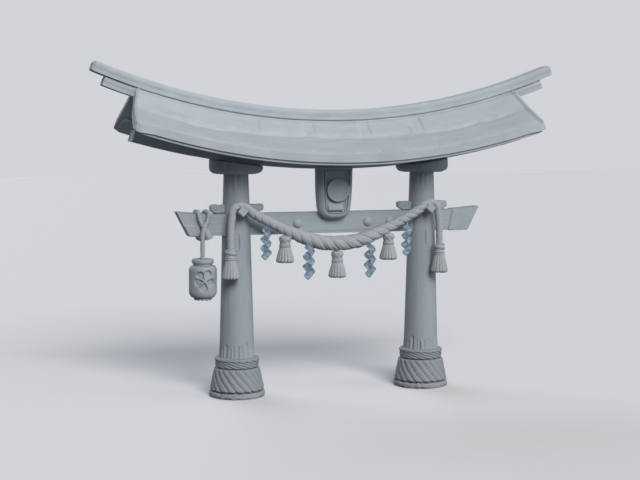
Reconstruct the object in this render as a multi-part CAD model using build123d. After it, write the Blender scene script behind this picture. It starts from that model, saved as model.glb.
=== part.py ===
from build123d import *
from math import asin, cos, degrees, radians, sin, sqrt
import os

# A timber shrine gate (torii) with a curved roof, in millimetres.
# X runs along the gate, Y through it (the front faces -Y) and Z up from the ground.
# Spans are set out from the post axes, and heights from the post heads or the tie beam.

# ---- Posts and feet ----
post_spacing = 3000          # between the post axes
post_height = 3386           # ground to the underside of the capital
post_foot_radius = 281       # at the top of the plinth
post_head_radius = 190       # under the capital
plinth_height = 85
plinth_edge = 12
plinth_lip = 9               # the plinth stands out past the wrap by this
wrap_height = 352            # the ribbed wrap round each foot
wrap_base_thickness = 132    # outside the post, at the plinth
wrap_top_thickness = 82
collar_height = 159          # the twisted rope collar on the wrap
collar_thickness = 69
collar_edge = 16
sleeve_gap = 0.3             # round sleeves and pins clear what they sit on by this
capital_overhang = 216       # outside the post's head
capital_edge = 92
capital_edge_steps = 6

# ---- Roof: every roof piece bends about one level axis high above the gate ----
ridge_rise = 961             # ridge top at the middle of the gate, above the post heads
roof_radius = 9500           # of the ridge top
ridge_cap_overhang = 2125    # from the post axis to the end of the ridge cap's top edge
ridge_cap_width = 320
ridge_cap_height = 157
ridge_cap_edge = 42
ridge_beam_overhang = 2022
ridge_beam_width = 250
ridge_beam_height = 143
slope_overhang = 1684        # to the eave corner
slope_kink_out = 490         # where the steep upper roof meets the flatter eave
slope_kink_drop = 480
slope_eave_out = 963
slope_eave_drop = 680
slope_upper_thickness = 135
slope_kink_thickness = 115
slope_eave_thickness = 99
slope_corner_radius = 90
eave_board_setback = 33      # from the eave edge of the slope above it
eave_board_thickness = 62
verge_width = 75             # the raised trim along each gable edge
verge_rise = 22
rib_thickness = 84
rib_shares = (-0.74, -0.37, 0, 0.37, 0.74)   # of the slopes' half-angle

# ---- The curved beam under the roof ----
lintel_overhang = 1556       # to the upper corner of its end
lintel_joint_overhang = 1230 # the end pieces begin here
lintel_width = 400
lintel_top_drop = 770        # below the ridge top
lintel_rise = 64             # its underside at the middle of the gate, above the post heads
lintel_bottom_radius = 11400

# ---- Tie beam through the posts ----
beam_drop = 926              # its underside, below the post heads
beam_height = 325
beam_thickness = 210
beam_tenon_overhang = 650
beam_cap_wall = 8
cap_joint_top_overhang = 484
cap_joint_bottom_overhang = 411
cap_tip_top_overhang = 940
cap_tip_bottom_overhang = 745
cap_tip_rise = 40
wedge_reach = 400            # from the post axis
wedge_undercut = 26
wedge_height = 118
wedge_thickness = 120
wedge_split = 4              # between the two wedges of one post
mortise_gap = 0.3
boss_radius = 60
boss_rise = 32
boss_edge = 14               # the straight part of its rim
boss_shares = (-0.623, -0.377, 0.377, 0.623)   # of the way from the middle to a post axis

# ---- Strut and tablet ----
strut_width = 220
tablet_top_half_width = 280
tablet_low_half_width = 230
tablet_reach = 125           # below the top of the tie beam
tablet_corner_radius = 120
tablet_top_gap = 6
tablet_board_thickness = 75
tablet_frame_depth = 91
tablet_step_depth = 53       # the inner step of the frame
tablet_frame_width = 45
tablet_step_width = 42
disc_radius = 180
disc_drop = 320              # its centre, below the curved beam
disc_thickness = 28
disc_gap = 1
shelf_half_width = 118
shelf_rise = 57              # its middle, above the tie beam
shelf_thickness = 36
shelf_depth = 74

# ---- Rope pegs and straw rope ----
peg_rise = 29                # the peg's axis, above the tie beam
peg_radius = 24
peg_depth = 110              # the peg's inner end, from the gate's mid-plane
peg_head_side = 94
peg_head_thickness = 28
peg_head_gap = 2             # between the rope and the head
rope_peg_radius = 62
rope_seat = 4.5              # the rope's axis clears the peg's by this more than their radii
rope_tail_radius = 54
rope_tail_offset = 171       # the tails hang this far outside the post axes
rope_bend = (                # over the peg: degrees outward from straight up, radius
    (-36, 66),
    (0, rope_peg_radius),
    (34, 61),
    (62, 59),
)
rope_tail_line = (           # X inside the hanging line, drop below the peg, radius
    (rope_tail_radius, 40, 57),
    (12, 170, 55),
    (0, 330, rope_tail_radius),
    (0, 529, rope_tail_radius),
)
rope_swag = (                # middle to peg: X as a share of the post axis, drop below the peg, radius
    (0.0, 494, 112),
    (0.12, 486, 112),
    (0.24, 456, 110),
    (0.38, 384, 102),
    (0.52, 304, 92),
    (0.66, 216, 80),
    (0.80, 114, 76),
    (0.90, 14, 72),
)

# ---- Tassels and paper streamers ----
tassel_height = 400
tassel_head_radius = 91
tassel_skirt_radius = 136
tassel_skirt_hem = 18
tassel_stem_radius = 22
tassel_stem_length = 60
tassel_clearance = 8         # from the tail tassels to the posts
tassel_neck_share = 0.36     # of the tassel's height
tassel_outline = (           # share of the head's radius, share of the way down to the neck
    (0.62, 0),
    (0.88, 0.26),
    (1.0, 0.52),
    (0.9, 0.77),
    (0.8, 0.92),
    (0.86, 1.0),
    (0.8, 1.07),
    (0.86, 1.17),
)
tassel_places = {            # X as a share of the post axis, top above the rope's underside
    "left": (-0.552, 17),
    "centre": (0, -8),
    "right": (0.552, 17),
}
tail_tassel_height = 462
streamer_half_width = 46
streamer_swing = 50
streamer_step = 100
streamer_thickness = 6
streamer_folds = 5
streamer_tab = 150
streamer_places = (          # X as a share of the post axis, top above the rope's underside, Y forward
    (-0.751, 12, 27),
    (-0.326, -29, 62),
    (0.326, -29, 62),
    (0.751, 12, 27),
)

# ---- Hanging lantern ----
lantern_overhang = 566       # outside the left post's axis
lantern_reach = 83           # from the beam cap's face to the lantern's axis
pivot_drop = 88              # below the tie beam
lantern_rope_radius = 34.5
lantern_rope_length = 241
tie_half_width = 34
tie_half_thickness = 25
tie_corner_radius = 31
tie_lean = 65                # each turn's X from the lantern's axis, above and below
tie_overlap_lift = 7         # the second turn crosses over the first, so it lies this much further out
knot_radius = 58
knot_outline = (             # share of its radius, height above the pivot
    (0.72, 0),
    (0.8, 20),
    (1, 60),
    (1, 168),
    (0.6, 218),
)
socket_gap = 0.5
socket_lip_share = 0.95      # of the rope's radius, at the rim of the socket
socket_mouth_share = 0.45    # of the rope's radius, how high the rim lies above the pivot
lantern_cap_radius = 165
lantern_cap_height = 100
lantern_cap_outline = (      # share of its radius, height above the barrel
    (0.86, 0),
    (0.86, 26),
    (0.97, 34),
    (1, 56),
    (0.97, 90),
    (0.92, lantern_cap_height),
)
lantern_radius = 209
lantern_height = 479
lantern_wall = 8
lantern_mouth_radius = 120   # the opening at the top, closed by the cap
barrel_foot_curve = ((0.67, 0), (0.87, 26), (0.97, 66), (1, 110))   # share of radius, rise
barrel_shoulder_curve = ((1, 78), (0.97, 44), (0.89, 16), (0.8, 0)) # share of radius, drop
lantern_foot_radius = 130
lantern_foot_height = 42
lantern_foot_edge = 10

# ---- Places that follow from the sizes above ----
post_axis = post_spacing / 2
post_places = {"left": -post_axis, "right": post_axis}
wrap_top = plinth_height + wrap_height
collar_top = wrap_top + collar_height
ridge_height = post_height + ridge_rise
roof_axis_height = ridge_height + roof_radius
roof_axis = Axis((0, 0, roof_axis_height), (0, 1, 0))
lintel_bottom = post_height + lintel_rise
lintel_arc_centre = lintel_bottom + lintel_bottom_radius
beam_bottom = post_height - beam_drop
beam_top = beam_bottom + beam_height
peg_height = beam_top + peg_rise
rope_hang = post_axis + rope_tail_offset
lantern_x = -post_axis - lantern_overhang
lantern_front = beam_thickness / 2 + beam_cap_wall + lantern_reach
lantern_pivot = beam_bottom - pivot_drop
lantern_cap_top = lantern_pivot - lantern_rope_length
lantern_top = lantern_cap_top - lantern_cap_height
lantern_bottom = lantern_top - lantern_height


def angle_for(half_span, drop):
    """Half-angle in degrees at which an arc that lies `drop` below the ridge top spans half_span."""
    return degrees(asin(half_span / (roof_radius + drop)))


def post_radius(height):
    """Radius of the evenly tapered post at a height above the ground."""
    share = (height - plinth_height) / (post_height - plinth_height)
    return post_foot_radius + share * (post_head_radius - post_foot_radius)


def turned(points, x=0.0, y=0.0):
    """A solid turned about the upright line at x, y from (radius, height) points."""
    face = Face(Wire.make_polygon([(r, 0, z) for r, z in points]))
    return Pos(x, y, 0) * revolve(face, Axis.Z, 360)


def arched(section, half_angle, middle=0.0):
    """Bend a (y, drop) section about the roof axis, half_angle degrees each side of middle."""
    face = Face(Wire.make_polygon([(0, y, ridge_height - drop) for y, drop in section]))
    solid = revolve(face, roof_axis, 2 * half_angle)
    return solid.rotate(roof_axis, -half_angle - middle)


def mirrored(points):
    return [(-y, drop) for y, drop in points]


def lintel_underside(x):
    """Height of the curved beam's underside at a distance x from the middle."""
    return lintel_arc_centre - sqrt(lintel_bottom_radius ** 2 - x ** 2)


def above_lintel_underside(length):
    """A drum that holds everything above the curved beam's underside."""
    drum = Cylinder(lintel_bottom_radius, length)
    return Pos(0, 0, lintel_arc_centre) * Rot(90, 0, 0) * drum


# ---- Roof sections, as (y, drop below the ridge top) points on the rear side ----
beam_half = ridge_beam_width / 2
slope_top_inner = ridge_cap_height + slope_upper_thickness
slope_kink_inner = slope_kink_drop + slope_kink_thickness
slope_eave_bottom = slope_eave_drop + slope_eave_thickness
ridge_beam_bottom = ridge_cap_height + ridge_beam_height


def inner_drop(y):
    """Drop of the slope's underside between the kink and the eave."""
    share = (y - slope_kink_out) / (slope_eave_out - slope_kink_out)
    return slope_kink_inner + share * (slope_eave_bottom - slope_kink_inner)


def outer_drop(y):
    """Drop of the slope's upper face between the ridge beam and the kink."""
    share = (y - beam_half) / (slope_kink_out - beam_half)
    return ridge_cap_height + share * (slope_kink_drop - ridge_cap_height)


slope_section = [
    (beam_half, ridge_cap_height),
    (slope_kink_out, slope_kink_drop),
    (slope_eave_out, slope_eave_drop),
    (slope_eave_out, slope_eave_bottom),
    (slope_kink_out, slope_kink_inner),
    (beam_half, slope_top_inner),
]
board_out = slope_eave_out - eave_board_setback
board_section = [
    (slope_kink_out, slope_kink_inner),
    (board_out, inner_drop(board_out)),
    (board_out, inner_drop(board_out) + eave_board_thickness),
    (slope_kink_out, slope_kink_inner + eave_board_thickness),
]
rib_half_section = [
    (beam_half, ridge_beam_bottom),
    (slope_kink_out, slope_kink_inner),
    (slope_kink_out, slope_kink_inner + eave_board_thickness),
    (lintel_width / 2, lintel_top_drop),
]
verge_start = ridge_cap_width / 2 + sleeve_gap
verge_section = [
    (verge_start, outer_drop(verge_start)),
    (slope_kink_out, slope_kink_drop),
    (slope_eave_out, slope_eave_drop),
    (slope_eave_out, slope_eave_drop - verge_rise),
    (slope_kink_out, slope_kink_drop - verge_rise),
    (verge_start, outer_drop(verge_start) - verge_rise),
]

slope_angle = angle_for(post_axis + slope_overhang, slope_eave_drop)
verge_angle = degrees(verge_width / 2 / (roof_radius + slope_kink_drop))
lintel_angle = angle_for(post_axis + lintel_overhang, lintel_top_drop)
lintel_joint = angle_for(post_axis + lintel_joint_overhang, lintel_top_drop)


def ridge_cap():
    half = ridge_cap_width / 2
    section = [(-half, 0), (half, 0), (half, ridge_cap_height), (-half, ridge_cap_height)]
    face = Face(Wire.make_polygon([(0, y, ridge_height - drop) for y, drop in section]))
    corners = face.vertices().sort_by(Axis.Z)[-2:]
    face = face.fillet_2d(ridge_cap_edge, corners)
    angle = angle_for(post_axis + ridge_cap_overhang, 0)
    return revolve(face, roof_axis, 2 * angle).rotate(roof_axis, -angle)


def ridge_beam():
    section = [
        (-beam_half, ridge_cap_height),
        (beam_half, ridge_cap_height),
        (beam_half, ridge_beam_bottom),
        (-beam_half, ridge_beam_bottom),
    ]
    return arched(section, angle_for(post_axis + ridge_beam_overhang, ridge_beam_bottom))


def slope(side):
    """One roof slope with rounded eave corners; side is 1 for the rear and -1 for the front."""
    section = slope_section if side > 0 else mirrored(slope_section)
    solid = arched(section, slope_angle)
    eave_edges = solid.edges().group_by(Axis.Y)[-1 if side > 0 else 0]
    return fillet(eave_edges.sort_by(SortBy.LENGTH)[:2], slope_corner_radius)


def verge_trims():
    """The raised trims on the four gable edges."""
    middle = slope_angle - verge_angle
    trims = []
    for section in (verge_section, mirrored(verge_section)):
        for sign in (-1, 1):
            trims.append(arched(section, verge_angle, sign * middle))
    return trims


def roof_ribs():
    """Upright ribs that carry the slopes and the ridge on the curved beam."""
    section = rib_half_section + mirrored(rib_half_section)[::-1]
    half_angle = degrees(rib_thickness / 2 / (roof_radius + lintel_top_drop))
    return [arched(section, half_angle, share * slope_angle) for share in rib_shares]


def underside_reach(angle):
    """Distance from the roof axis to the curved beam's underside along a line at this angle."""
    rise = lintel_arc_centre - roof_axis_height
    along = -rise * cos(radians(angle))
    across = rise * sin(radians(angle))
    return along + sqrt(lintel_bottom_radius ** 2 - across ** 2)


def on_ray(angle, reach):
    """The point at a distance from the roof axis, at an angle from straight down."""
    return (reach * sin(radians(angle)), 0, roof_axis_height - reach * cos(radians(angle)))


def lintel_block(start, end):
    """The stretch of curved beam between two angles."""
    middle = (start + end) / 2
    top = roof_radius + lintel_top_drop
    edges = [
        Edge.make_three_point_arc(on_ray(start, top), on_ray(middle, top), on_ray(end, top)),
        Edge.make_line(on_ray(end, top), on_ray(end, underside_reach(end))),
        Edge.make_three_point_arc(*[on_ray(a, underside_reach(a)) for a in (end, middle, start)]),
        Edge.make_line(on_ray(start, underside_reach(start)), on_ray(start, top)),
    ]
    face = Face(Wire(edges))
    return extrude(face, lintel_width / 2, dir=(0, 1, 0), both=True)


def capital(x):
    """A round block with a rolled lower edge, hollowed on top to seat the curved beam."""
    radius = post_head_radius + capital_overhang
    top = lintel_underside(post_axis + radius) + capital_edge
    points = [(0, post_height)]
    for step in range(capital_edge_steps + 1):
        turn = radians(90 * step / capital_edge_steps)
        points.append((radius - capital_edge * (1 - sin(turn)), post_height + capital_edge * (1 - cos(turn))))
    points += [(radius, top), (0, top)]
    return turned(points, x) - above_lintel_underside(3 * radius)


def post(x):
    """A tapered round post with the tie beam's mortise, the wedge slot and the peg hole."""
    solid = turned([
        (0, plinth_height),
        (post_foot_radius, plinth_height),
        (post_head_radius, post_height),
        (0, post_height),
    ], x)
    reach = 2 * post_foot_radius
    beam_way = Box(reach, beam_thickness + 2 * mortise_gap, beam_height)
    slot_height = wedge_height + mortise_gap
    wedge_way = Box(reach, wedge_thickness + 2 * mortise_gap, slot_height)
    solid -= Pos(x, 0, beam_bottom + beam_height / 2) * beam_way
    solid -= Pos(x, 0, beam_top + slot_height / 2) * wedge_way
    hole = Cylinder(peg_radius + sleeve_gap, peg_front - peg_depth)
    solid -= Pos(x, -(peg_front + peg_depth) / 2, peg_height) * Rot(90, 0, 0) * hole
    return solid


def plinth(x):
    radius = post_foot_radius + wrap_base_thickness + plinth_lip
    return turned([
        (0, 0),
        (radius, 0),
        (radius, plinth_height - plinth_edge),
        (radius - plinth_edge, plinth_height),
        (0, plinth_height),
    ], x)


def foot_wrap(x):
    """A conical sleeve that stands on the plinth round the post."""
    base = post_foot_radius + wrap_base_thickness
    top = post_radius(wrap_top) + wrap_top_thickness
    return turned([
        (post_radius(plinth_height) + sleeve_gap, plinth_height),
        (base - plinth_edge, plinth_height),
        (base, plinth_height + plinth_edge),
        (top, wrap_top - plinth_edge),
        (top - plinth_edge, wrap_top),
        (post_radius(wrap_top) + sleeve_gap, wrap_top),
    ], x)


def foot_collar(x):
    radius = post_radius(wrap_top) + collar_thickness
    return turned([
        (post_radius(wrap_top) + sleeve_gap, wrap_top),
        (radius - collar_edge, wrap_top),
        (radius, wrap_top + collar_edge),
        (radius, collar_top - collar_edge),
        (radius - collar_edge, collar_top),
        (post_radius(collar_top) + sleeve_gap, collar_top),
    ], x)


def tie_beam():
    beam = Box(2 * (post_axis + beam_tenon_overhang), beam_thickness, beam_height)
    return Pos(0, 0, beam_bottom + beam_height / 2) * beam


def beam_cap(side):
    """The slanted end block of the tie beam, with a pocket for the beam's end."""
    low = beam_bottom - beam_cap_wall
    high = beam_top + beam_cap_wall
    outline = [
        (side * (post_axis + cap_joint_top_overhang), 0, high),
        (side * (post_axis + cap_tip_top_overhang), 0, high + cap_tip_rise),
        (side * (post_axis + cap_tip_bottom_overhang), 0, low),
        (side * (post_axis + cap_joint_bottom_overhang), 0, low),
    ]
    face = Face(Wire.make_polygon(outline))
    width = beam_thickness + 2 * beam_cap_wall
    block = extrude(face, width / 2, dir=(0, 1, 0), both=True)
    pocket = Box(2 * (post_axis + beam_tenon_overhang + mortise_gap), beam_thickness + 2 * mortise_gap,
                 beam_height + 2 * mortise_gap)
    return block - Pos(0, 0, beam_bottom + beam_height / 2) * pocket


def wedge(x, side):
    """One of the two wedges that lock the beam in a post; side is -1 or 1."""
    outline = [
        (x + side * wedge_split / 2, 0, beam_top),
        (x + side * (wedge_reach - wedge_undercut), 0, beam_top),
        (x + side * wedge_reach, 0, beam_top + wedge_height),
        (x + side * wedge_split / 2, 0, beam_top + wedge_height),
    ]
    face = Face(Wire.make_polygon(outline))
    return extrude(face, wedge_thickness / 2, dir=(0, 1, 0), both=True)


def boss(x):
    """A domed round boss on the front of the tie beam."""
    crown = boss_rise - boss_edge
    bow = (boss_radius ** 2 + crown ** 2) / (2 * crown)
    drum = Pos(0, 0, boss_rise / 2) * Cylinder(boss_radius, boss_rise)
    dome = drum & Pos(0, 0, boss_rise - bow) * Sphere(bow)
    return Pos(x, -beam_thickness / 2, beam_bottom + beam_height / 2) * Rot(90, 0, 0) * dome


def strut():
    """The short strut between the tie beam and the curved beam."""
    height = lintel_underside(strut_width) - beam_top
    block = Pos(0, 0, beam_top + height / 2) * Box(strut_width, beam_thickness, height)
    return block - above_lintel_underside(2 * beam_thickness)


def tablet_outline(inset):
    """The tablet's outline, wider at the top and round at the bottom, moved in by inset."""
    top = lintel_bottom - tablet_top_gap - inset
    bottom = beam_top - tablet_reach + inset
    wide = tablet_top_half_width - inset
    narrow = tablet_low_half_width - inset
    radius = tablet_corner_radius - inset / 2
    face = Face(Wire.make_polygon([
        (-wide, 0, top),
        (wide, 0, top),
        (narrow, 0, bottom),
        (-narrow, 0, bottom),
    ]))
    return face.fillet_2d(radius, face.vertices().sort_by(Axis.Z)[:2])


def tablet_layer(front_of, depth, outer_inset, inner_inset=None):
    """A layer of the tablet that starts front_of before the mid-plane and is depth thick."""
    layer = extrude(tablet_outline(outer_inset), depth, dir=(0, -1, 0))
    if inner_inset is not None:
        layer -= extrude(tablet_outline(inner_inset), depth, dir=(0, -1, 0))
    return Pos(0, -front_of, 0) * layer


tablet_back = beam_thickness / 2
tablet_face = tablet_back + tablet_board_thickness
tablet_inner = tablet_frame_width + tablet_step_width


def tablet_frame():
    outer = tablet_layer(tablet_face, tablet_frame_depth, 0, tablet_frame_width)
    step = tablet_layer(tablet_face, tablet_step_depth, tablet_frame_width, tablet_inner)
    return outer + step


def tablet_disc():
    """The round mirror; its foot fits inside the frame and its rim stands over it."""
    inside = tablet_low_half_width - tablet_inner - disc_gap
    lift = tablet_frame_depth + disc_gap
    height = lintel_bottom - disc_drop
    foot_at = Pos(0, -tablet_face - lift / 2, height)
    rim_at = Pos(0, -tablet_face - lift - disc_thickness / 2, height)
    foot = foot_at * Rot(90, 0, 0) * Cylinder(inside, lift)
    return foot + rim_at * Rot(90, 0, 0) * Cylinder(disc_radius, disc_thickness)


def tablet_shelf():
    block = Box(2 * shelf_half_width, shelf_depth, shelf_thickness)
    return Pos(0, -tablet_face - shelf_depth / 2, beam_top + shelf_rise) * block


# The rope hangs in an upright plane that lets the tail tassels clear the posts.
tail_end = peg_height - rope_tail_line[-1][1]
tail_tassel_hem = tail_end - tail_tassel_height + tassel_skirt_hem
tassel_reach = post_radius(tail_tassel_hem) + tassel_skirt_radius + tassel_clearance
rope_front = sqrt(tassel_reach ** 2 - rope_tail_offset ** 2)
peg_front = rope_front + rope_peg_radius + peg_head_gap + peg_head_thickness


def rope_peg(x):
    """A round peg with a square head set on its corner."""
    length = peg_front - peg_head_thickness - peg_depth
    shaft = Pos(0, -peg_depth - length / 2, 0) * Rot(90, 0, 0) * Cylinder(peg_radius, length)
    head = Rot(0, 45, 0) * Box(peg_head_side, peg_head_thickness, peg_head_side)
    head_at = Pos(0, -peg_front + peg_head_thickness / 2, 0)
    return Pos(x, 0, peg_height) * (shaft + head_at * head)


def rope_through(places, start, end):
    """A round rope through (x, z, radius) places in the rope's plane, cut square to start and end."""
    rings = []
    for index, (x, z, radius) in enumerate(places):
        x_before, z_before, _ = places[max(index - 1, 0)]
        x_after, z_after, _ = places[min(index + 1, len(places) - 1)]
        along = (x_after - x_before, 0, z_after - z_before)
        if index == 0:
            along = start
        if index == len(places) - 1:
            along = end
        ring = Plane(origin=(x, -rope_front, z), x_dir=(0, 1, 0), z_dir=along)
        rings.append(Wire.make_circle(radius, ring))
    return Solid.make_loft(rings, ruled=True)


def over_peg(turn, radius):
    """A place on the rope's bend over the peg, turn degrees outward from straight up."""
    reach = peg_radius + rope_peg_radius + rope_seat
    x = post_axis + reach * sin(radians(turn))
    return (x, peg_height + reach * cos(radians(turn)), radius)


def swag_line():
    """The swag's places from the middle of the gate to the last one before the peg."""
    return [(share * post_axis, peg_height - drop, radius) for share, drop, radius in rope_swag]


def rope_underside(x):
    """Height of the swag's underside at a distance x from the middle, between two of its places."""
    places = swag_line()
    for (x0, z0, r0), (x1, z1, r1) in zip(places, places[1:]):
        if x <= x1:
            share = (x - x0) / (x1 - x0)
            slant = sqrt(1 + ((z1 - z0) / (x1 - x0)) ** 2)
            return z0 + share * (z1 - z0) - slant * (r0 + share * (r1 - r0))


def rope_main():
    """The swag from the top of one peg to the top of the other."""
    half = swag_line() + [over_peg(turn, radius) for turn, radius in rope_bend if turn <= 0]
    left = [(-x, z, radius) for x, z, radius in half[:0:-1]]
    return rope_through(left + half, (1, 0, 0), (1, 0, 0))


def rope_tail(side):
    """The rope's end, from the top of a peg down to its tassel."""
    places = [over_peg(turn, radius) for turn, radius in rope_bend if turn >= 0]
    places += [(rope_hang - inside, peg_height - drop, radius) for inside, drop, radius in rope_tail_line]
    places = [(side * x, z, radius) for x, z, radius in places]
    return rope_through(places, (side, 0, 0), (0, 0, -1))


def tassel(x, top, height, stem=0):
    """A tassel with a round head, a bound neck and a flared skirt, and a stem above it if asked."""
    bottom = top - height
    neck_drop = tassel_neck_share * height
    points = [(0, top)]
    if stem:
        points = [(0, top + stem), (tassel_stem_radius, top + stem), (tassel_stem_radius, top)]
    points += [(share * tassel_head_radius, top - down * neck_drop) for share, down in tassel_outline]
    points += [
        (tassel_skirt_radius, bottom + tassel_skirt_hem),
        (tassel_skirt_radius - tassel_skirt_hem / 2, bottom),
        (0, bottom),
    ]
    return turned(points, x, -rope_front)


def hung_tassel(share, rise):
    """A tassel under the swag."""
    x = share * post_axis
    return tassel(x, rope_underside(abs(x)) + rise, tassel_height, tassel_stem_length)


def streamer(share, rise, forward):
    """A zigzag paper streamer whose tab is pushed into the rope."""
    x = share * post_axis
    top = rope_underside(abs(x)) + rise
    line = [(x, top + streamer_tab), (x, top)]
    for fold in range(streamer_folds):
        swing = streamer_swing if fold % 2 == 0 else -streamer_swing
        line.append((x + swing, top - (fold + 1) * streamer_step))
    front = rope_front + forward
    right = [(along + streamer_half_width, -front, z) for along, z in line]
    left = [(along - streamer_half_width, -front, z) for along, z in line]
    face = Face(Wire.make_polygon(right + left[::-1]))
    return extrude(face, streamer_thickness / 2, dir=(0, 1, 0), both=True)


def cap_top(x):
    """Height of the left beam cap's sloping top at x."""
    share = (-post_axis - cap_joint_top_overhang - x) / (cap_tip_top_overhang - cap_joint_top_overhang)
    return beam_top + beam_cap_wall + share * cap_tip_rise


def tie_loop(sign, lift):
    """One turn of tie rope round the beam's end, leaning outward (-1) or inward (1) at the top."""
    reach = tie_half_thickness + sleeve_gap + lift
    half_depth = beam_thickness / 2 + beam_cap_wall + reach
    low = beam_bottom - beam_cap_wall - reach
    outer_edge = lantern_x + sign * tie_lean - tie_half_width
    high = cap_top(outer_edge) + reach
    lean = Vector(2 * sign * tie_lean, 0, high - low)
    plane = Plane(
        origin=(lantern_x, 0, (low + high) / 2),
        x_dir=(0, 1, 0),
        z_dir=Vector(0, 1, 0).cross(lean),
    )
    half_length = lean.length / 2
    path = Wire.make_polygon([
        plane.from_local_coords((-half_depth, -half_length)),
        plane.from_local_coords((half_depth, -half_length)),
        plane.from_local_coords((half_depth, half_length)),
        plane.from_local_coords((-half_depth, half_length)),
    ])
    path = path.fillet_2d(tie_corner_radius, path.vertices())
    ring = Plane(origin=path @ 0, x_dir=plane.z_dir, z_dir=path % 0)
    section = Wire.make_ellipse(tie_half_width, tie_half_thickness, ring)
    return sweep(Face(section), path=path)


def tie_knot():
    """The knot at the front, with a round socket under it for the lantern's rope."""
    points = [(0, lantern_pivot)]
    points += [(share * knot_radius, lantern_pivot + rise) for share, rise in knot_outline]
    points += [(0, lantern_pivot + knot_outline[-1][1])]
    body = turned(points, lantern_x, -lantern_front)
    socket = Pos(lantern_x, -lantern_front, lantern_pivot) * Sphere(lantern_rope_radius + socket_gap)
    mouth_height = lantern_pivot + socket_mouth_share * lantern_rope_radius
    mouth = turned([
        (0, lantern_pivot - 1),
        (knot_radius, lantern_pivot - 1),
        (knot_radius, lantern_pivot),
        (socket_lip_share * lantern_rope_radius, mouth_height),
        (0, mouth_height),
    ], lantern_x, -lantern_front)
    return body - socket - mouth


def lantern_rope():
    """The rope from the knot to the lantern, with a round top end."""
    rope = Cylinder(lantern_rope_radius, lantern_rope_length)
    rope_at = Pos(lantern_x, -lantern_front, lantern_pivot - lantern_rope_length / 2)
    end_at = Pos(lantern_x, -lantern_front, lantern_pivot)
    return rope_at * rope + end_at * Sphere(lantern_rope_radius)


def lantern_cap():
    points = [(share * lantern_cap_radius, lantern_top + rise) for share, rise in lantern_cap_outline]
    return turned([(0, lantern_top)] + points + [(0, lantern_cap_top)], lantern_x, -lantern_front)


def barrel_line(wall):
    """(radius, height) points of the paper barrel from its foot to its mouth, moved in by wall."""
    line = [(share * lantern_radius - wall, lantern_bottom + rise) for share, rise in barrel_foot_curve]
    for share, drop in barrel_shoulder_curve:
        line.append((share * lantern_radius - wall, lantern_top - drop - wall))
    return line + [(lantern_mouth_radius, lantern_top - wall)]


def lantern_shade():
    """The hollow paper barrel."""
    return turned(barrel_line(0) + barrel_line(lantern_wall)[::-1], lantern_x, -lantern_front)


def lantern_foot():
    """The ring that closes the barrel below."""
    top_radius = barrel_foot_curve[0][0] * lantern_radius
    bottom = lantern_bottom - lantern_foot_height
    return turned([
        (0, bottom),
        (lantern_foot_radius - lantern_foot_edge, bottom),
        (lantern_foot_radius, bottom + lantern_foot_edge),
        (top_radius, lantern_bottom),
        (0, lantern_bottom),
    ], lantern_x, -lantern_front)


def write(name, *shapes):
    """Write the solids of one node to its STEP file."""
    solids = [solid for shape in shapes for solid in shape.solids()]
    whole = solids[0] if len(solids) == 1 else Compound(children=solids)
    export_step(whole, os.path.join("parts", name + ".step"))


os.makedirs("parts", exist_ok=True)

for place, post_x in post_places.items():
    side = 1 if post_x > 0 else -1
    write(f"post_{place}", post(post_x))
    write(f"plinth_{place}", plinth(post_x))
    write(f"foot_wrap_{place}", foot_wrap(post_x))
    write(f"foot_collar_{place}", foot_collar(post_x))
    write(f"capital_{place}", capital(post_x))
    write(f"rope_tail_{place}", rope_tail(side))
    write(f"tail_tassel_{place}", tassel(side * rope_hang, tail_end, tail_tassel_height))

write("tie_beam", tie_beam())
write("beam_caps", beam_cap(-1), beam_cap(1))
write("beam_wedges", *[wedge(x, side) for x in post_places.values() for side in (-1, 1)])
write("beam_bosses", *[boss(share * post_axis) for share in boss_shares])
write("rope_pegs", *[rope_peg(x) for x in post_places.values()])

write("strut", strut())
write("tablet_board", tablet_layer(tablet_back, tablet_board_thickness, 0))
write("tablet_frame", tablet_frame())
write("tablet_disc", tablet_disc())
write("tablet_shelf", tablet_shelf())

write("lintel", lintel_block(-lintel_joint, lintel_joint))
write("lintel_ends", lintel_block(-lintel_angle, -lintel_joint), lintel_block(lintel_joint, lintel_angle))
write("roof_ribs", *roof_ribs())
write("roof_slope_front", slope(-1))
write("roof_slope_rear", slope(1))
write("eave_board_front", arched(mirrored(board_section), slope_angle - verge_angle))
write("eave_board_rear", arched(board_section, slope_angle - verge_angle))
write("verge_trims", *verge_trims())
write("ridge_beam", ridge_beam())
write("ridge_cap", ridge_cap())

write("rope_swag", rope_main())
for place, (share, rise) in tassel_places.items():
    write(f"rope_tassel_{place}", hung_tassel(share, rise))
write("paper_streamers", *[streamer(*place) for place in streamer_places])

write("lantern_tie", tie_loop(-1, 0) + tie_loop(1, tie_overlap_lift) + tie_knot())
write("lantern_rope", lantern_rope())
write("lantern_cap", lantern_cap())
write("lantern_shade", lantern_shade())
write("lantern_foot", lantern_foot())
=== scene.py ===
from math import asin, atan2, cos, floor, hypot, pi, radians, sin, sqrt

import bmesh
import bpy
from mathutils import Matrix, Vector, noise


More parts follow.
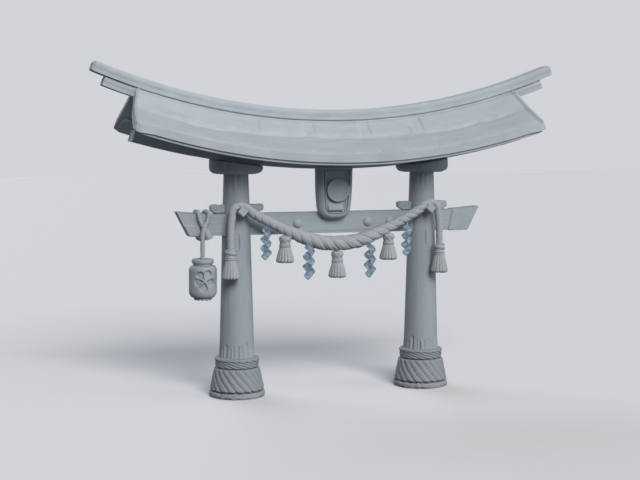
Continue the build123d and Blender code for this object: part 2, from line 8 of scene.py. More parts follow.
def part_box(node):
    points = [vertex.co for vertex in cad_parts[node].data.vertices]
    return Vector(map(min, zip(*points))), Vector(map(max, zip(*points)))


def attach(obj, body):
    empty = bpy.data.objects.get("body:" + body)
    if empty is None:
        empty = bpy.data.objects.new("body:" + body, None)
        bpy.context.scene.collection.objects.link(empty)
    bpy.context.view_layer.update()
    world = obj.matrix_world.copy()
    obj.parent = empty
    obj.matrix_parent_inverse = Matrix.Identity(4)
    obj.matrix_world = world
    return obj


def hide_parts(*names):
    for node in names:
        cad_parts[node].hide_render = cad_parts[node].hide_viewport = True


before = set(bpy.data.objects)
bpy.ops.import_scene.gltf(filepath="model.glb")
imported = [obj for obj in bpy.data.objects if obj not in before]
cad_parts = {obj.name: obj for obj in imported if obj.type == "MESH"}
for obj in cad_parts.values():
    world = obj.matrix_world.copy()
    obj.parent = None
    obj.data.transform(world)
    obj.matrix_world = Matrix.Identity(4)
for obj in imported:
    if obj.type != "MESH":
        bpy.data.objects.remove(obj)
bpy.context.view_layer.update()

# A timber shrine gate, in metres. The front faces -Y, X runs along the gate and Z is up.

# ---- Sizes that the looks share with the frame ----
RIDGE_HEIGHT = 4.347               # of the ridge top in the middle of the gate
ROOF_RADIUS = 9.5                  # of the ridge top, about one level axis high above the gate
BEAM_HALF_THICKNESS = 0.105
POST_X = 1.5                       # of the post axes, to either side of the middle
TOUCH = 0.001                      # how near a place counts as on a plane


# ---- Hand tools: selecting, cutting and finishing ----
def take(piece):
    """Make the piece the only selected object and the active one."""
    bpy.ops.object.select_all(action="DESELECT")
    piece.select_set(True)
    bpy.context.view_layer.objects.active = piece
    return piece


def settle(name):
    """Name the new primitive and put its place into its mesh."""
    piece = take(bpy.context.active_object)
    piece.name = piece.data.name = name
    bpy.ops.object.transform_apply(location=True, rotation=True, scale=True)
    return piece


def block(name, low, high):
    """A squared timber between two corners, still to be shaped."""
    low, high = Vector(low), Vector(high)
    bpy.ops.object.select_all(action="DESELECT")
    bpy.ops.mesh.primitive_cube_add(size=1, location=(low + high) / 2)
    bpy.context.active_object.scale = high - low
    return settle(name)


def shape(piece):
    """Go into edit mode on the piece."""
    take(piece)
    bpy.ops.object.mode_set(mode="EDIT")
    bpy.ops.mesh.select_mode(type="VERT")


def leave():
    """Go back to object mode."""
    bpy.ops.object.mode_set(mode="OBJECT")


def choose(kind, test):
    """Select the vertices, edges or faces whose middle and direction pass the test."""
    bpy.ops.mesh.select_mode(type=kind)
    bpy.ops.mesh.select_all(action="DESELECT")
    mesh = bpy.context.edit_object.data
    form = bmesh.from_edit_mesh(mesh)
    if kind == "VERT":
        chosen = [v for v in form.verts if test(v.co, v.normal)]
    elif kind == "EDGE":
        chosen = [e for e in form.edges if test((e.verts[0].co + e.verts[1].co) / 2,
                                                (e.verts[1].co - e.verts[0].co).normalized())]
    else:
        chosen = [f for f in form.faces if test(f.calc_center_median(), f.normal)]
    for part in chosen:
        part.select_set(True)
    form.select_flush_mode()
    bmesh.update_edit_mesh(mesh)


def choose_all():
    bpy.ops.mesh.select_all(action="SELECT")


def shift(offset):
    bpy.ops.transform.translate(value=offset)


def move_corners(test, offset):
    choose("VERT", test)
    shift(offset)


def saw(axis, places):
    """Cut all round at each place along an axis, leaving both sides."""
    direction = [0, 0, 0]
    direction[axis] = 1
    for place in places:
        point = [0, 0, 0]
        point[axis] = place
        choose_all()
        bpy.ops.mesh.bisect(plane_co=point, plane_no=direction)


def steps(start, end, count):
    """The places that divide a stretch into count equal parts, without its ends."""
    return [start + (end - start) * k / count for k in range(1, count)]


def rise(amount):
    """Raise or sink the chosen faces along their normals, with walls."""
    bpy.ops.mesh.extrude_region_shrink_fatten(TRANSFORM_OT_shrink_fatten={"value": amount})


def inset(thickness):
    bpy.ops.mesh.inset(thickness=thickness)


def tidy_shell():
    """Close seams and poles, and turn every face outwards."""
    choose_all()
    bpy.ops.mesh.remove_doubles(threshold=0.00002)
    bpy.ops.mesh.normals_make_consistent(inside=False)


def modify(piece, kind, **settings):
    """Add a modifier, set it up and apply it."""
    take(piece)
    modifier = piece.modifiers.new(kind.lower(), kind)
    for name, value in settings.items():
        setattr(modifier, name, value)
    bpy.ops.object.modifier_apply(modifier=modifier.name)


def round_over(piece, width, segments=3, angle=30):
    """Round every edge sharper than the angle."""
    modify(piece, "BEVEL", width=width, segments=segments, limit_method="ANGLE",
           angle_limit=radians(angle), harden_normals=False)


def soften(piece):
    """Divide every face once, with soft corners."""
    modify(piece, "SUBSURF", levels=1, render_levels=1)


def join(name, pieces):
    """Join pieces into one object."""
    take(pieces[0])
    for piece in pieces[1:]:
        piece.select_set(True)
    bpy.ops.object.join()
    joined = bpy.context.active_object
    joined.name = joined.data.name = name
    return joined


def twin(piece, name, offset=(0, 0, 0), mirror=None):
    """A copy with its own mesh, moved by the offset, or mirrored about a plane x, y or z = 0."""
    take(piece)
    bpy.ops.object.duplicate(linked=False)
    copy = bpy.context.active_object
    copy.name = copy.data.name = name
    shape(copy)
    choose_all()
    if mirror is not None:
        factors = [1, 1, 1]
        factors[mirror] = -1
        bpy.ops.transform.resize(value=factors, center_override=(0, 0, 0))
        bpy.ops.mesh.flip_normals()
    shift(offset)
    leave()
    return copy


def lathe(name, outline, centre, axis=2, sides=64):
    """Turn an outline of (radius, distance along the axis) about a line through centre.

    The line stands upright, or with axis=1 it points to the front.
    """
    across = Vector((1, 0, 0))
    along = Vector((0, 0, 1)) if axis == 2 else Vector((0, -1, 0))
    spots = [Vector(centre) + across * radius + along * reach for radius, reach in outline]
    bpy.ops.object.select_all(action="DESELECT")
    bpy.ops.mesh.primitive_plane_add(size=0.01, location=spots[0])
    piece = settle(name)
    shape(piece)
    choose_all()
    bpy.ops.mesh.merge(type="CENTER")
    for before, after in zip(spots, spots[1:]):
        bpy.ops.mesh.extrude_region_move(TRANSFORM_OT_translate={"value": after - before})
    choose_all()
    bpy.ops.mesh.spin(steps=sides, angle=2 * pi, center=centre, axis=along)
    tidy_shell()
    leave()
    return piece


def carve(piece, depth_at):
    """Move each vertex along its normal by depth_at(place, normal), as with a sculpting knife."""
    mesh = piece.data
    moves = [(v.index, v.normal * depth_at(v.co, v.normal)) for v in mesh.vertices]
    for index, move in moves:
        mesh.vertices[index].co += move
    mesh.update()


def nudge(piece, offset_at):
    """Move each vertex by offset_at(place)."""
    for vertex in piece.data.vertices:
        vertex.co += Vector(offset_at(vertex.co))
    piece.data.update()


def smooth_step(low, high, value):
    """0 up to low, 1 from high on, and a smooth rise between them."""
    share = min(1.0, max(0.0, (value - low) / (high - low)))
    return share * share * (3 - 2 * share)


def groove(distance, half_width):
    """1 on a line, falling smoothly to 0 at half_width from it."""
    return 1 - smooth_step(0, half_width, abs(distance))


def between(table, value):
    """Read a table of (place, amount) pairs between its places."""
    if value <= table[0][0]:
        return table[0][1]
    for (low, first), (high, last) in zip(table, table[1:]):
        if value <= high:
            return first + (last - first) * (value - low) / (high - low)
    return table[-1][1]


def grain(x, y, z):
    """Smooth noise from about -1 to 1."""
    return noise.noise(Vector((x, y, z)))


def about(place, axis_x, axis_y=0):
    """Angle and distance from an upright axis; the angle grows to the right seen from the front."""
    return atan2(place.y - axis_y, place.x - axis_x), hypot(place.x - axis_x, place.y - axis_y)


def round_grain(angle, scale, third):
    """Smooth noise that closes on itself round an axis."""
    return grain(cos(angle) * scale, sin(angle) * scale, third)


def rough(piece, amount, size):
    """Leave a hand-worked unevenness of a given size on the surface."""
    carve(piece, lambda at, normal: amount * grain(at.x / size, at.y / size, at.z / size))


def node_copy(node, name):
    """A copy of a CAD node's mesh, its loose triangles merged into flat faces."""
    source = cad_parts[node]
    piece = bpy.data.objects.new(name, source.data.copy())
    piece.data.name = name
    bpy.context.scene.collection.objects.link(piece)
    piece.data.materials.clear()
    shape(piece)
    choose_all()
    bpy.ops.mesh.remove_doubles(threshold=0.00005)
    bpy.ops.mesh.dissolve_limited(angle_limit=radians(1))
    leave()
    return piece


def finish_piece(piece, finish, body, nodes, angle=35):
    """Give a piece its finish, its smooth shading, its body and the CAD nodes it stands for."""
    take(piece)
    piece.data.materials.clear()
    piece.data.materials.append(finish)
    bpy.ops.object.shade_smooth_by_angle(angle=radians(angle))
    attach(piece, body)
    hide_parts(*nodes)


# ---- Finishes ----
def colour(code):
    """An sRGB hex colour as the linear colour that Blender works in."""
    parts = [int(code[k:k + 2], 16) / 255 for k in (1, 3, 5)]
    return [p / 12.92 if p <= 0.04045 else ((p + 0.055) / 1.055) ** 2.4 for p in parts] + [1.0]


def add_node(material, kind, settings=(), links=()):
    """Add a node, set its properties and sockets, and link its inputs from (input, node, output)."""
    node = material.node_tree.nodes.new(kind)
    for name, value in dict(settings).items():
        if isinstance(name, str) and hasattr(node, name):
            setattr(node, name, value)
        else:
            node.inputs[name].default_value = value
    for into, source, out in links:
        material.node_tree.links.new(source.outputs[out], node.inputs[into])
    return node


def ramp_stops(node, stops):
    """Set a colour ramp's stops from (place, hex colour)."""
    elements = node.color_ramp.elements
    while len(elements) < len(stops):
        elements.new(0.5)
    for element, (place, code) in zip(elements, stops):
        element.position = place
        element.color = colour(code)
    return node


def finish_of(name, stops, grain_size, relief, roughness, fleck_size, stretch=(1, 1, 1), fleck_strength=0.2):
    """A matt finish: long grain or fibre for colour, fine flecks, and a shallow relief from both.

    stops colour the grain, stretch squeezes the pattern along each axis, and sizes are in metres.
    """
    material = bpy.data.materials.new(name)
    material.use_nodes = True
    material.node_tree.nodes.clear()
    where = add_node(material, "ShaderNodeTexCoord")
    turned = add_node(material, "ShaderNodeMapping", {"Scale": stretch}, [("Vector", where, "Object")])
    veins = add_node(material, "ShaderNodeTexNoise",
                     {"Scale": 1 / grain_size, "Detail": 5.0, "Roughness": 0.6, "Distortion": 0.4},
                     [("Vector", turned, "Vector")])
    tone = ramp_stops(add_node(material, "ShaderNodeValToRGB", {}, [("Fac", veins, "Fac")]), stops)
    flecks = add_node(material, "ShaderNodeTexNoise", {"Scale": 1 / fleck_size, "Detail": 3.0},
                      [("Vector", where, "Object")])
    speck = ramp_stops(add_node(material, "ShaderNodeValToRGB", {}, [("Fac", flecks, "Fac")]),
                       [(0.35, "#D8D8D8"), (0.6, "#FFFFFF")])
    tinted = add_node(material, "ShaderNodeMix",
                      {"data_type": "RGBA", "blend_type": "MULTIPLY", 0: fleck_strength},
                      [(6, tone, "Color"), (7, speck, "Color")])
    fine = add_node(material, "ShaderNodeBump", {"Strength": 0.5, "Distance": relief * 0.5},
                    [("Height", flecks, "Fac")])
    bump = add_node(material, "ShaderNodeBump", {"Strength": 0.7, "Distance": relief},
                    [("Height", veins, "Fac"), ("Normal", fine, "Normal")])
    skin = add_node(material, "ShaderNodeBsdfPrincipled", {"Roughness": roughness},
                    [("Base Color", tinted, 2), ("Normal", bump, "Normal")])
    add_node(material, "ShaderNodeOutputMaterial", {}, [("Surface", skin, "BSDF")])
    return material


# Hewn cypress, left bare and silvered by weather: a matt grey with long, faint grain.
# Late wood stands about 14 mm apart across the grain and runs twenty times as far along it.
cypress_along = finish_of(
    "silvered_cypress_hewn", [(0.3, "#9EA7B0"), (0.52, "#A7AFB8"), (0.75, "#AEB6BF")],
    stretch=(0.05, 1, 1), grain_size=0.014, relief=0.0007, roughness=0.78, fleck_size=0.006)
cypress_upright = finish_of(
    "silvered_cypress_turned", [(0.3, "#99A1A9"), (0.52, "#A1A9B1"), (0.75, "#A8B0B8")],
    stretch=(1, 1, 0.05), grain_size=0.014, relief=0.0007, roughness=0.78, fleck_size=0.006)
# Roof boards: paler than the other timber, as painted light where their upturned faces take the lamps, with
# soft blotches where rain has washed the surface, some 120 mm over and longer along the boards.
cypress_roof_painted_light = finish_of(
    "silvered_cypress_roof_boards_painted_light", [(0.28, "#B0B8C0"), (0.5, "#B8C0C8"), (0.75, "#BFC6CE")],
    stretch=(0.3, 0.7, 0.7), grain_size=0.12, relief=0.0016, roughness=0.8, fleck_size=0.008)
# Rice straw, twisted by hand: bundled stalks about 4 mm thick, a dry grey once weathered. Their
# tones are drawn 7 mm wide, because finer ones would not show.
straw_look = {"stretch": (1, 1, 0.35), "grain_size": 0.007, "relief": 0.0016, "roughness": 0.88,
              "fleck_size": 0.004, "fleck_strength": 0.45}
straw = finish_of("rice_straw_twisted", [(0.3, "#9DA3A9"), (0.5, "#AEB4B9"), (0.72, "#BDC2C7")], **straw_look)
# Old rice straw at the feet, greyer and darker from splashed rain and soil.
old_straw = finish_of("weathered_rice_straw_twisted", [(0.3, "#888F96"), (0.5, "#979EA4"), (0.72, "#A6ACB2")],
                      **straw_look)
# Folded washi paper: smooth, with fibres about 3 mm long; its darker blue grey and its blotches, light and
# dark over 45 mm, are painted shade.
washi_painted_shade = finish_of(
    "washi_paper_folded_painted_shade", [(0.36, "#6A8098"), (0.52, "#8C9FB2"), (0.66, "#B4C2D0")],
    grain_size=0.045, relief=0.0006, roughness=0.7, fleck_size=0.003, fleck_strength=0.3)
# The lantern's paper is oiled and stretched over a frame: a soft sheen, and faint blotches 50 mm over.
lantern_paper = finish_of(
    "washi_paper_oiled_on_frame", [(0.3, "#99A1AA"), (0.52, "#A5ADB5"), (0.75, "#AFB6BE")],
    grain_size=0.05, relief=0.0008, roughness=0.62, fleck_size=0.004, fleck_strength=0.3)
# Granite, dressed with a point: a pale grey with crystals about 3.5 mm over and a face pitted every 6 mm.
granite = finish_of(
    "granite_point_dressed", [(0.35, "#8E9297"), (0.5, "#A4A8AC"), (0.66, "#B8BBBF")],
    grain_size=0.006, relief=0.002, roughness=0.85, fleck_size=0.0035, fleck_strength=0.7)


# ---- Camera, floor and light ----
def set_camera():
    """A long lens to the left of the gate's middle, level with its roof and aimed a little down."""
    data = bpy.data.cameras.new("camera")
    data.lens, data.sensor_width = 79.86, 36
    camera = bpy.data.objects.new("camera", data)
    bpy.context.scene.collection.objects.link(camera)
    yaw, pitch = 0.3016, -0.0874
    camera.location = (-6.6566, -20.8459, 4.2591)
    camera.rotation_euler = (pi / 2 + pitch, 0, -yaw)
    bpy.context.scene.camera = camera


def set_floor():
    """A plain pale floor; what it throws back on the gate is a dark grey, as from packed gravel."""
    bpy.ops.object.select_all(action="DESELECT")
    bpy.ops.mesh.primitive_plane_add(size=160, location=(0, 0, 0))
    floor = settle("studio_floor")
    paint = bpy.data.materials.new("studio_floor_paint")
    paint.use_nodes = True
    paint.node_tree.nodes.clear()
    seen = add_node(paint, "ShaderNodeLightPath")
    tone = add_node(paint, "ShaderNodeMix",
                    {"data_type": "RGBA", 6: colour("#63666A"), 7: colour("#EEEFF1")},
                    [(0, seen, "Is Camera Ray")])
    skin = add_node(paint, "ShaderNodeBsdfPrincipled", {"Roughness": 0.9}, [("Base Color", tone, 2)])
    add_node(paint, "ShaderNodeOutputMaterial", {}, [("Surface", skin, "BSDF")])
    floor.data.materials.append(paint)


def set_light():
    """Plain soft light: a key from above the front, low ones from the right and the rear, an even sky."""
    for name, place, strength, spread, tint in (("key_light", (1.2, -15.3, 11.0), 2.25, 30, "#FFFDF9"),
                                                ("side_light", (12, -6.5, 2.2), 1.05, 50, "#F2F6FF"),
                                                ("rear_light", (-5, 14, 5.0), 1.50, 60, "#F2F6FF")):
        data = bpy.data.lights.new(name, "SUN")
        data.energy, data.angle, data.color = strength, radians(spread), colour(tint)[:3]
        lamp = bpy.data.objects.new(name, data)
        bpy.context.scene.collection.objects.link(lamp)
        lamp.rotation_euler = (-Vector(place)).to_track_quat("-Z", "Y").to_euler()
    world = bpy.data.worlds.new("studio")
    bpy.context.scene.world = world
    world.use_nodes = True
    world.node_tree.nodes.clear()
    sky = add_node(world, "ShaderNodeBackground", {"Color": colour("#DDE4EC"), "Strength": 0.18})
    backdrop = add_node(world, "ShaderNodeBackground", {"Color": colour("#D2D4D7"), "Strength": 1.0})
    seen = add_node(world, "ShaderNodeLightPath")
    mixed = add_node(world, "ShaderNodeMixShader", {},
                     [("Fac", seen, "Is Camera Ray"), (1, sky, "Background"), (2, backdrop, "Background")])
    add_node(world, "ShaderNodeOutputWorld", {}, [("Surface", mixed, "Shader")])
    bpy.context.scene.view_settings.view_transform = "Standard"


set_camera()
set_floor()
set_light()


# ---- Feet: plinth, ribbed straw wrap and twisted collar under each post ----
def make_plinth(side, axis_x):
    """A round stone with a worn, chipped rim."""
    low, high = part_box("plinth_" + side)
    radius, height = (high.x - low.x) / 2, high.z
    outline = [(0, 0), (radius * 0.55, 0), (radius - 0.012, 0), (radius - 0.002, 0.008), (radius, 0.02)]
    outline += [(radius, z) for z in steps(0.02, height - 0.02, 5)]
    outline += [(radius, height - 0.02), (radius - 0.003, height - 0.008), (radius - 0.011, height)]
    outline += [(radius - 0.03, height), (radius * 0.8, height), (radius * 0.4, height), (0, height)]
    piece = lathe("stone_plinth_" + side, outline, (axis_x, 0, 0), sides=128)

    def chips(place, normal):
        angle, reach = about(place, axis_x)
        if reach < radius * 0.9:
            return 0
        edge = 1 - smooth_step(0.008, 0.03, min(place.z, height - place.z))
        nick = max(0, grain(angle * 20, place.z * 6, axis_x) - 0.02) * 0.045 * edge
        return grain(angle * 11, place.z * 30, 3 + axis_x) * 0.008 - nick
    carve(piece, chips)
    finish_piece(piece, granite, "gate", ["plinth_" + side], 40)


def make_wrap(side, axis_x):
    """Straw bound round the foot in slanting, uneven ribs."""
    low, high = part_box("foot_wrap_" + side)
    base, top, bore, foot, head = (high.x - low.x) / 2, 0.353, 0.2, low.z, high.z
    rows, ribs, twist = 34, 20, 45
    rib_depth, fork_depth, fibre_depth = 0.023, 0.010, 0.002
    outline = [(bore, foot), (base - 0.045, foot), (base - 0.040, foot + 0.012), (base - 0.022, foot + 0.018),
               (base - 0.008, foot + 0.024)]
    outline += [(base + (top - base) * k / rows, foot + 0.032 + (head - foot - 0.054) * k / rows)
                for k in range(rows + 1)]
    outline += [(top - 0.004, head - 0.012), (top - 0.014, head - 0.004), (top - 0.03, head), (bore, head)]
    piece = lathe("straw_foot_wrap_" + side, outline, (axis_x, 0, 0), sides=216)

    def ribbing(place, normal):
        angle, reach = about(place, axis_x)
        if reach < top - 0.02:
            return 0
        waver = 0.35 * round_grain(angle, 2, place.z * 5 + axis_x)
        waver += 0.25 * round_grain(angle, 6, place.z * 14)
        rib = abs(sin((ribs * angle + twist * place.z) / 2 + waver))
        fork = abs(sin((ribs * angle + twist * place.z) + 2 * waver + 1.3))
        patch = smooth_step(0.05, 0.35, round_grain(angle, 4.4, place.z * 7 + 5))
        shade = (1 - rib) ** 2.1 * rib_depth + patch * (1 - fork) ** 2 * fork_depth
        ends = smooth_step(0, 0.02, place.z - foot) * smooth_step(0, 0.012, head - place.z)
        return -shade * (0.45 + 0.55 * ends) - fibre_depth * grain(angle * 30, place.z * 40, 0)
    carve(piece, ribbing)
    finish_piece(piece, old_straw, "gate", ["foot_wrap_" + side], 60)


def make_collar(side, axis_x):
    """A band of fine twisted cord under a rolled edge, with a deep seam at its foot."""
    low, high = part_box("foot_collar_" + side)
    radius, bore, foot, head = (high.x - low.x) / 2, 0.2, low.z, high.z
    rows, strands, twist = 24, 17, 155
    strand_depth, fibre_depth = 0.016, 0.003
    outline = [(bore, foot), (radius - 0.050, foot), (radius - 0.048, foot + 0.012)]
    outline += [(radius - 0.024, foot + 0.019)]
    outline += [(radius - 0.008, foot + 0.022 + (head - foot - 0.059) * k / rows) for k in range(rows + 1)]
    outline += [(radius - 0.003, head - 0.042), (radius, head - 0.027), (radius - 0.004, head - 0.014)]
    outline += [(radius - 0.013, head - 0.004), (radius - 0.026, head), (radius - 0.045, head + 0.004)]
    outline += [(bore, head + 0.012)]
    piece = lathe("straw_foot_collar_" + side, outline, (axis_x, 0, 0), sides=216)

    def twisting(place, normal):
        angle, reach = about(place, axis_x)
        if reach < radius - 0.02:
            return 0
        waver = 0.3 * round_grain(angle, 3, place.z * 8)
        strand = abs(sin((strands * angle + twist * place.z) / 2 + waver))
        fibre = abs(sin((strands * angle + twist * place.z) * 1.5 + 3 * waver))
        middle = smooth_step(0.022, 0.042, head - place.z)
        return -(strand_depth * (1 - strand) ** 1.4 + fibre_depth * (1 - fibre)) * (0.15 + 0.85 * middle)
    carve(piece, twisting)
    finish_piece(piece, old_straw, "gate", ["foot_collar_" + side], 60)


# ---- Posts and capitals ----
def lintel_underside(x):
    """Height of the curved beam's underside at a distance x from the middle."""
    radius, low = 11.4, 3.45
    return low + radius - sqrt(radius ** 2 - x ** 2)


def make_post(side, axis_x):
    """A tapered log with adzed flutes at its foot, a crack in its face and streaks at its neck."""
    foot, head, wide, narrow = 0.085, 3.386, 0.281, 0.190
    levels = [foot, 0.3, 0.5] + steps(0.55, 0.95, 20) + steps(0.95, 2.1, 14) + steps(2.1, 2.6, 20)
    levels += steps(2.6, 3.05, 6) + steps(3.05, head, 14) + [head + 0.02]
    outline = [(0, foot)] + [(wide + (narrow - wide) * (z - foot) / (head - foot), z) for z in levels]
    outline += [(0, head + 0.02)]
    piece = lathe("cypress_post_" + side, outline, (axis_x, 0, 0), sides=160)
    flute_count, flute_depth, streak_count, streak_depth, crack_depth = 24, 0.028, 13, 0.010, 0.024

    def hewing(place, normal):
        angle, reach = about(place, axis_x)
        if reach < 0.1:
            return 0
        z = place.z
        facets = 0.0022 * round_grain(angle, 3.2, z * 0.9 + axis_x)
        flare = 0.010 * (1 - smooth_step(0.6, 0.78, z))
        flute_angle = angle * flute_count / (2 * pi) + 0.4 * round_grain(angle, 4, axis_x)
        number = floor(flute_angle)
        start = 0.775 + 0.13 * grain(number * 7.3, 1.7, axis_x)
        flute = groove(flute_angle - number - 0.5, 0.33) * (0.7 + 0.7 * grain(number * 3.7, 9.2, axis_x))
        flutes = -flute_depth * flute * (1 - smooth_step(start - 0.012, start + 0.008, z))
        streak_angle = angle * streak_count / (2 * pi) + 0.3 * round_grain(angle, 3, z * 1.5)
        number = floor(streak_angle)
        end = 3.16 + 0.12 * grain(number * 5.1, 4.4, axis_x)
        streak = groove(streak_angle - number - 0.5, 0.36) * smooth_step(end - 0.06, end + 0.1, z)
        crack = 0
        if place.y < 0:
            crack_x = axis_x - 0.012 + 0.012 * grain(z * 5, 2.2, axis_x)
            crack = -crack_depth * groove(place.x - crack_x, 0.014)
            crack *= smooth_step(2.2, 2.28, z) * (1 - smooth_step(2.44, 2.5, z))
        return facets + flare + flutes - streak_depth * streak + crack
    carve(piece, hewing)
    finish_piece(piece, cypress_upright, "gate", ["post_" + side], 50)


def make_capital(side, axis_x):
    """A round block with a rolled lower edge; its top follows the curved beam."""
    low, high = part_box("capital_" + side)
    radius, foot, roll, crown = (high.x - low.x) / 2, low.z, 0.092, 4.0
    outline = [(0, foot), (0.12, foot), (0.22, foot), (radius - roll - 0.02, foot)]
    outline += [(radius - roll - 0.006, foot + 0.001)]
    for turn in [radians(degrees) for degrees in range(0, 91, 9)]:
        outline.append((radius - roll * (1 - sin(turn)), foot + 0.004 + (roll - 0.004) * (1 - cos(turn))))
    outline += [(radius, crown - 0.022), (radius - 0.003, crown - 0.008), (radius - 0.012, crown - 0.001)]
    outline += [(radius * k / 8, crown) for k in range(7, -1, -1)]
    piece = lathe("cypress_capital_" + side, outline, (axis_x, 0, 0), sides=112)
    nudge(piece, lambda at: (0, 0, lintel_underside(at.x) - crown if at.z > crown - 0.2 else 0))

    def whorls(place, normal):
        angle, reach = about(place, axis_x)
        if reach < radius * 0.6:
            return 0
        veins = sin(place.z * 260 + 3 * round_grain(angle, 4, place.z * 6))
        return 0.0015 * veins + 0.006 * round_grain(angle, 8, place.z * 24)
    carve(piece, whorls)
    finish_piece(piece, cypress_upright, "gate", ["capital_" + side], 50)


for post_side in ("left", "right"):
    low_corner, high_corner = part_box("plinth_" + post_side)
    post_x = (low_corner.x + high_corner.x) / 2
    for make in (make_plinth, make_wrap, make_collar, make_post, make_capital):
        make(post_side, post_x)


# ---- Tie beam, its caps, wedges and bosses ----
def make_tie_beam():
    """A squared beam with a scribed line low on both faces."""
    low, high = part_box("tie_beam")
    piece = block("cypress_tie_beam", low, high)
    shape(piece)
    line, line_width, line_depth = low.z + 0.030, 0.010, 0.007
    saw(2, [line, line + line_width, line + 0.12, high.z - 0.09])
    saw(0, steps(low.x, high.x, 40))
    choose("FACE", lambda at, n: abs(n.y) > 0.9 and line < at.z < line + line_width)
    inset(0.001)
    rise(-line_depth)
    leave()
    round_over(piece, 0.009, 3)
    soften(piece)
    rough(piece, 0.0022, 0.22)
    finish_piece(piece, cypress_along, "gate", ["tie_beam"])


CAP_JOINT, CAP_LEAN = 1.911, 0.073   # where a cap starts at its foot, and how much further out at its top
CAP_RISE = 0.040                     # how far a cap's upper edge climbs to its tip


def cap_block(sign, low, high):
    """One slanted end block with a dished end, cut all round for its worn edges."""
    middle = 2.6
    # How far each corner reaches, by (outer end, upper edge).
    corners = {(False, False): CAP_JOINT, (False, True): CAP_JOINT + CAP_LEAN, (True, False): 2.245,
               (True, True): 2.440}
    piece = block("cap", (-0.5, low.y, low.z), (0.5, high.y, high.z - CAP_RISE))
    shape(piece)
    for (outer, upper), reach in corners.items():
        start = 0.5 if outer == (sign > 0) else -0.5
        move_corners(lambda at, n: abs(at.x - start) < 0.01 and (at.z > middle) == upper,
                     (sign * reach - start, 0, CAP_RISE if outer and upper else 0))
    choose_all()
    bpy.ops.mesh.normals_make_consistent(inside=False)
    leave()
    round_over(piece, 0.020, 4)
    shape(piece)
    choose("FACE", lambda at, n: n.x * sign > 0.8 and abs(at.y) < 0.01)
    inset(0.014)
    rise(-0.008)
    saw(2, [2.50, 2.55, 2.600, 2.612, 2.621, 2.630, 2.642, 2.69, 2.74])
    saw(0, [sign * x for x in (1.945, 1.965, 1.985, 2.01, 2.04, 2.08, 2.14, 2.20, 2.28, 2.36)])
    leave()
    soften(piece)
    return piece


def make_caps():
    """The end blocks of the tie beam: a step goes up the left one, and the right one has a lip."""
    low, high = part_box("beam_caps")
    piece = join("cypress_beam_caps", [cap_block(sign, low, high) for sign in (-1, 1)])
    step_depth, lip_height = 0.015, 0.010

    def working(at, normal):
        if abs(normal.y) < 0.7:
            return 0.003 * grain(at.x * 9, at.y * 9, at.z * 9)
        if at.x < 0:
            step = -step_depth * smooth_step(2.612, 2.630, at.z)
        else:
            lean = (at.z - low.z) / (high.z - CAP_RISE - low.z)
            beyond = at.x - CAP_JOINT - CAP_LEAN * lean
            step = lip_height * (1 - smooth_step(0.03, 0.07, beyond) - smooth_step(0.05, 0.12, beyond))
        return step + 0.003 * grain(at.x * 8, 0.5, at.z * 8)
    carve(piece, working)
    finish_piece(piece, cypress_along, "gate", ["beam_caps"])


def make_wedges():
    """Four stout wedges like loaves, with rounded, rough-split ends that are cut under."""
    low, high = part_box("beam_wedges")
    pieces = []
    for axis_x in (-POST_X, POST_X):
        for sign in (-1, 1):
            start, end = axis_x + sign * 0.01, axis_x + sign * 0.415
            piece = block("wedge", (min(start, end), low.y, low.z + 0.001),
                          (max(start, end), high.y, high.z + 0.018))
            shape(piece)
            saw(2, [low.z + 0.052])
            move_corners(lambda at, n: abs(at.x - end) < 0.01 and at.z < low.z + 0.03, (-sign * 0.095, 0, 0))
            leave()
            round_over(piece, 0.028, 5)
            shape(piece)
            saw(0, [axis_x + sign * x for x in (0.15, 0.19, 0.22, 0.25, 0.28, 0.31, 0.335, 0.36, 0.38)])
            saw(2, [low.z + 0.04, low.z + 0.07, low.z + 0.09])
            saw(1, [-0.015, 0.015])
            leave()
            soften(piece)
            pieces.append(piece)
    piece = join("cypress_beam_wedges", pieces)

    def splitting(at, normal):
        veins = grain(at.x * 14, at.y * 60, at.z * 60 - at.x * 18)
        return 0.012 * grain(at.x * 11, at.y * 11, at.z * 11) + 0.009 * veins
    carve(piece, splitting)
    finish_piece(piece, cypress_along, "gate", ["beam_wedges"], 50)


def make_bosses():
    """Four round, hand-cut bosses on the beam's face."""
    outline = [(0, 0.040), (0.016, 0.039), (0.033, 0.035), (0.049, 0.028), (0.060, 0.019), (0.068, 0.010),
               (0.071, 0.004), (0.072, 0.001), (0.072, -0.003), (0, -0.003)]
    height, outer_x, inner_x = 2.6225, 0.9345, 0.5655
    first = lathe("boss", outline, (-outer_x, -BEAM_HALF_THICKNESS, height), axis=1, sides=36)
    rough(first, 0.004, 0.05)
    others = [twin(first, "boss", (x + outer_x, 0, 0)) for x in (-inner_x, inner_x, outer_x)]
    piece = join("cypress_beam_bosses", [first] + others)
    finish_piece(piece, cypress_along, "gate", ["beam_bosses"])


def make_strut():
    """The plain square timber between the tie beam and the lintel."""
    low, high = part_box("strut")
    head = 3.46
    piece = block("cypress_strut", low, (high.x, high.y, head))
    shape(piece)
    saw(2, steps(low.z, head, 8))
    leave()
    round_over(piece, 0.008, 2)
    finish_piece(piece, cypress_upright, "gate", ["strut"])


make_tie_beam()
make_caps()
make_wedges()
make_bosses()
make_strut()




# ---- Roof: the ridge timbers, slopes and eave boards are made straight and then bent to the roof's curve ----
def straight_half(half_span, drop):
    """Half the straight length, at the ridge, of a timber whose end reaches half_span at a drop."""
    return ROOF_RADIUS * asin(half_span / (ROOF_RADIUS + drop))


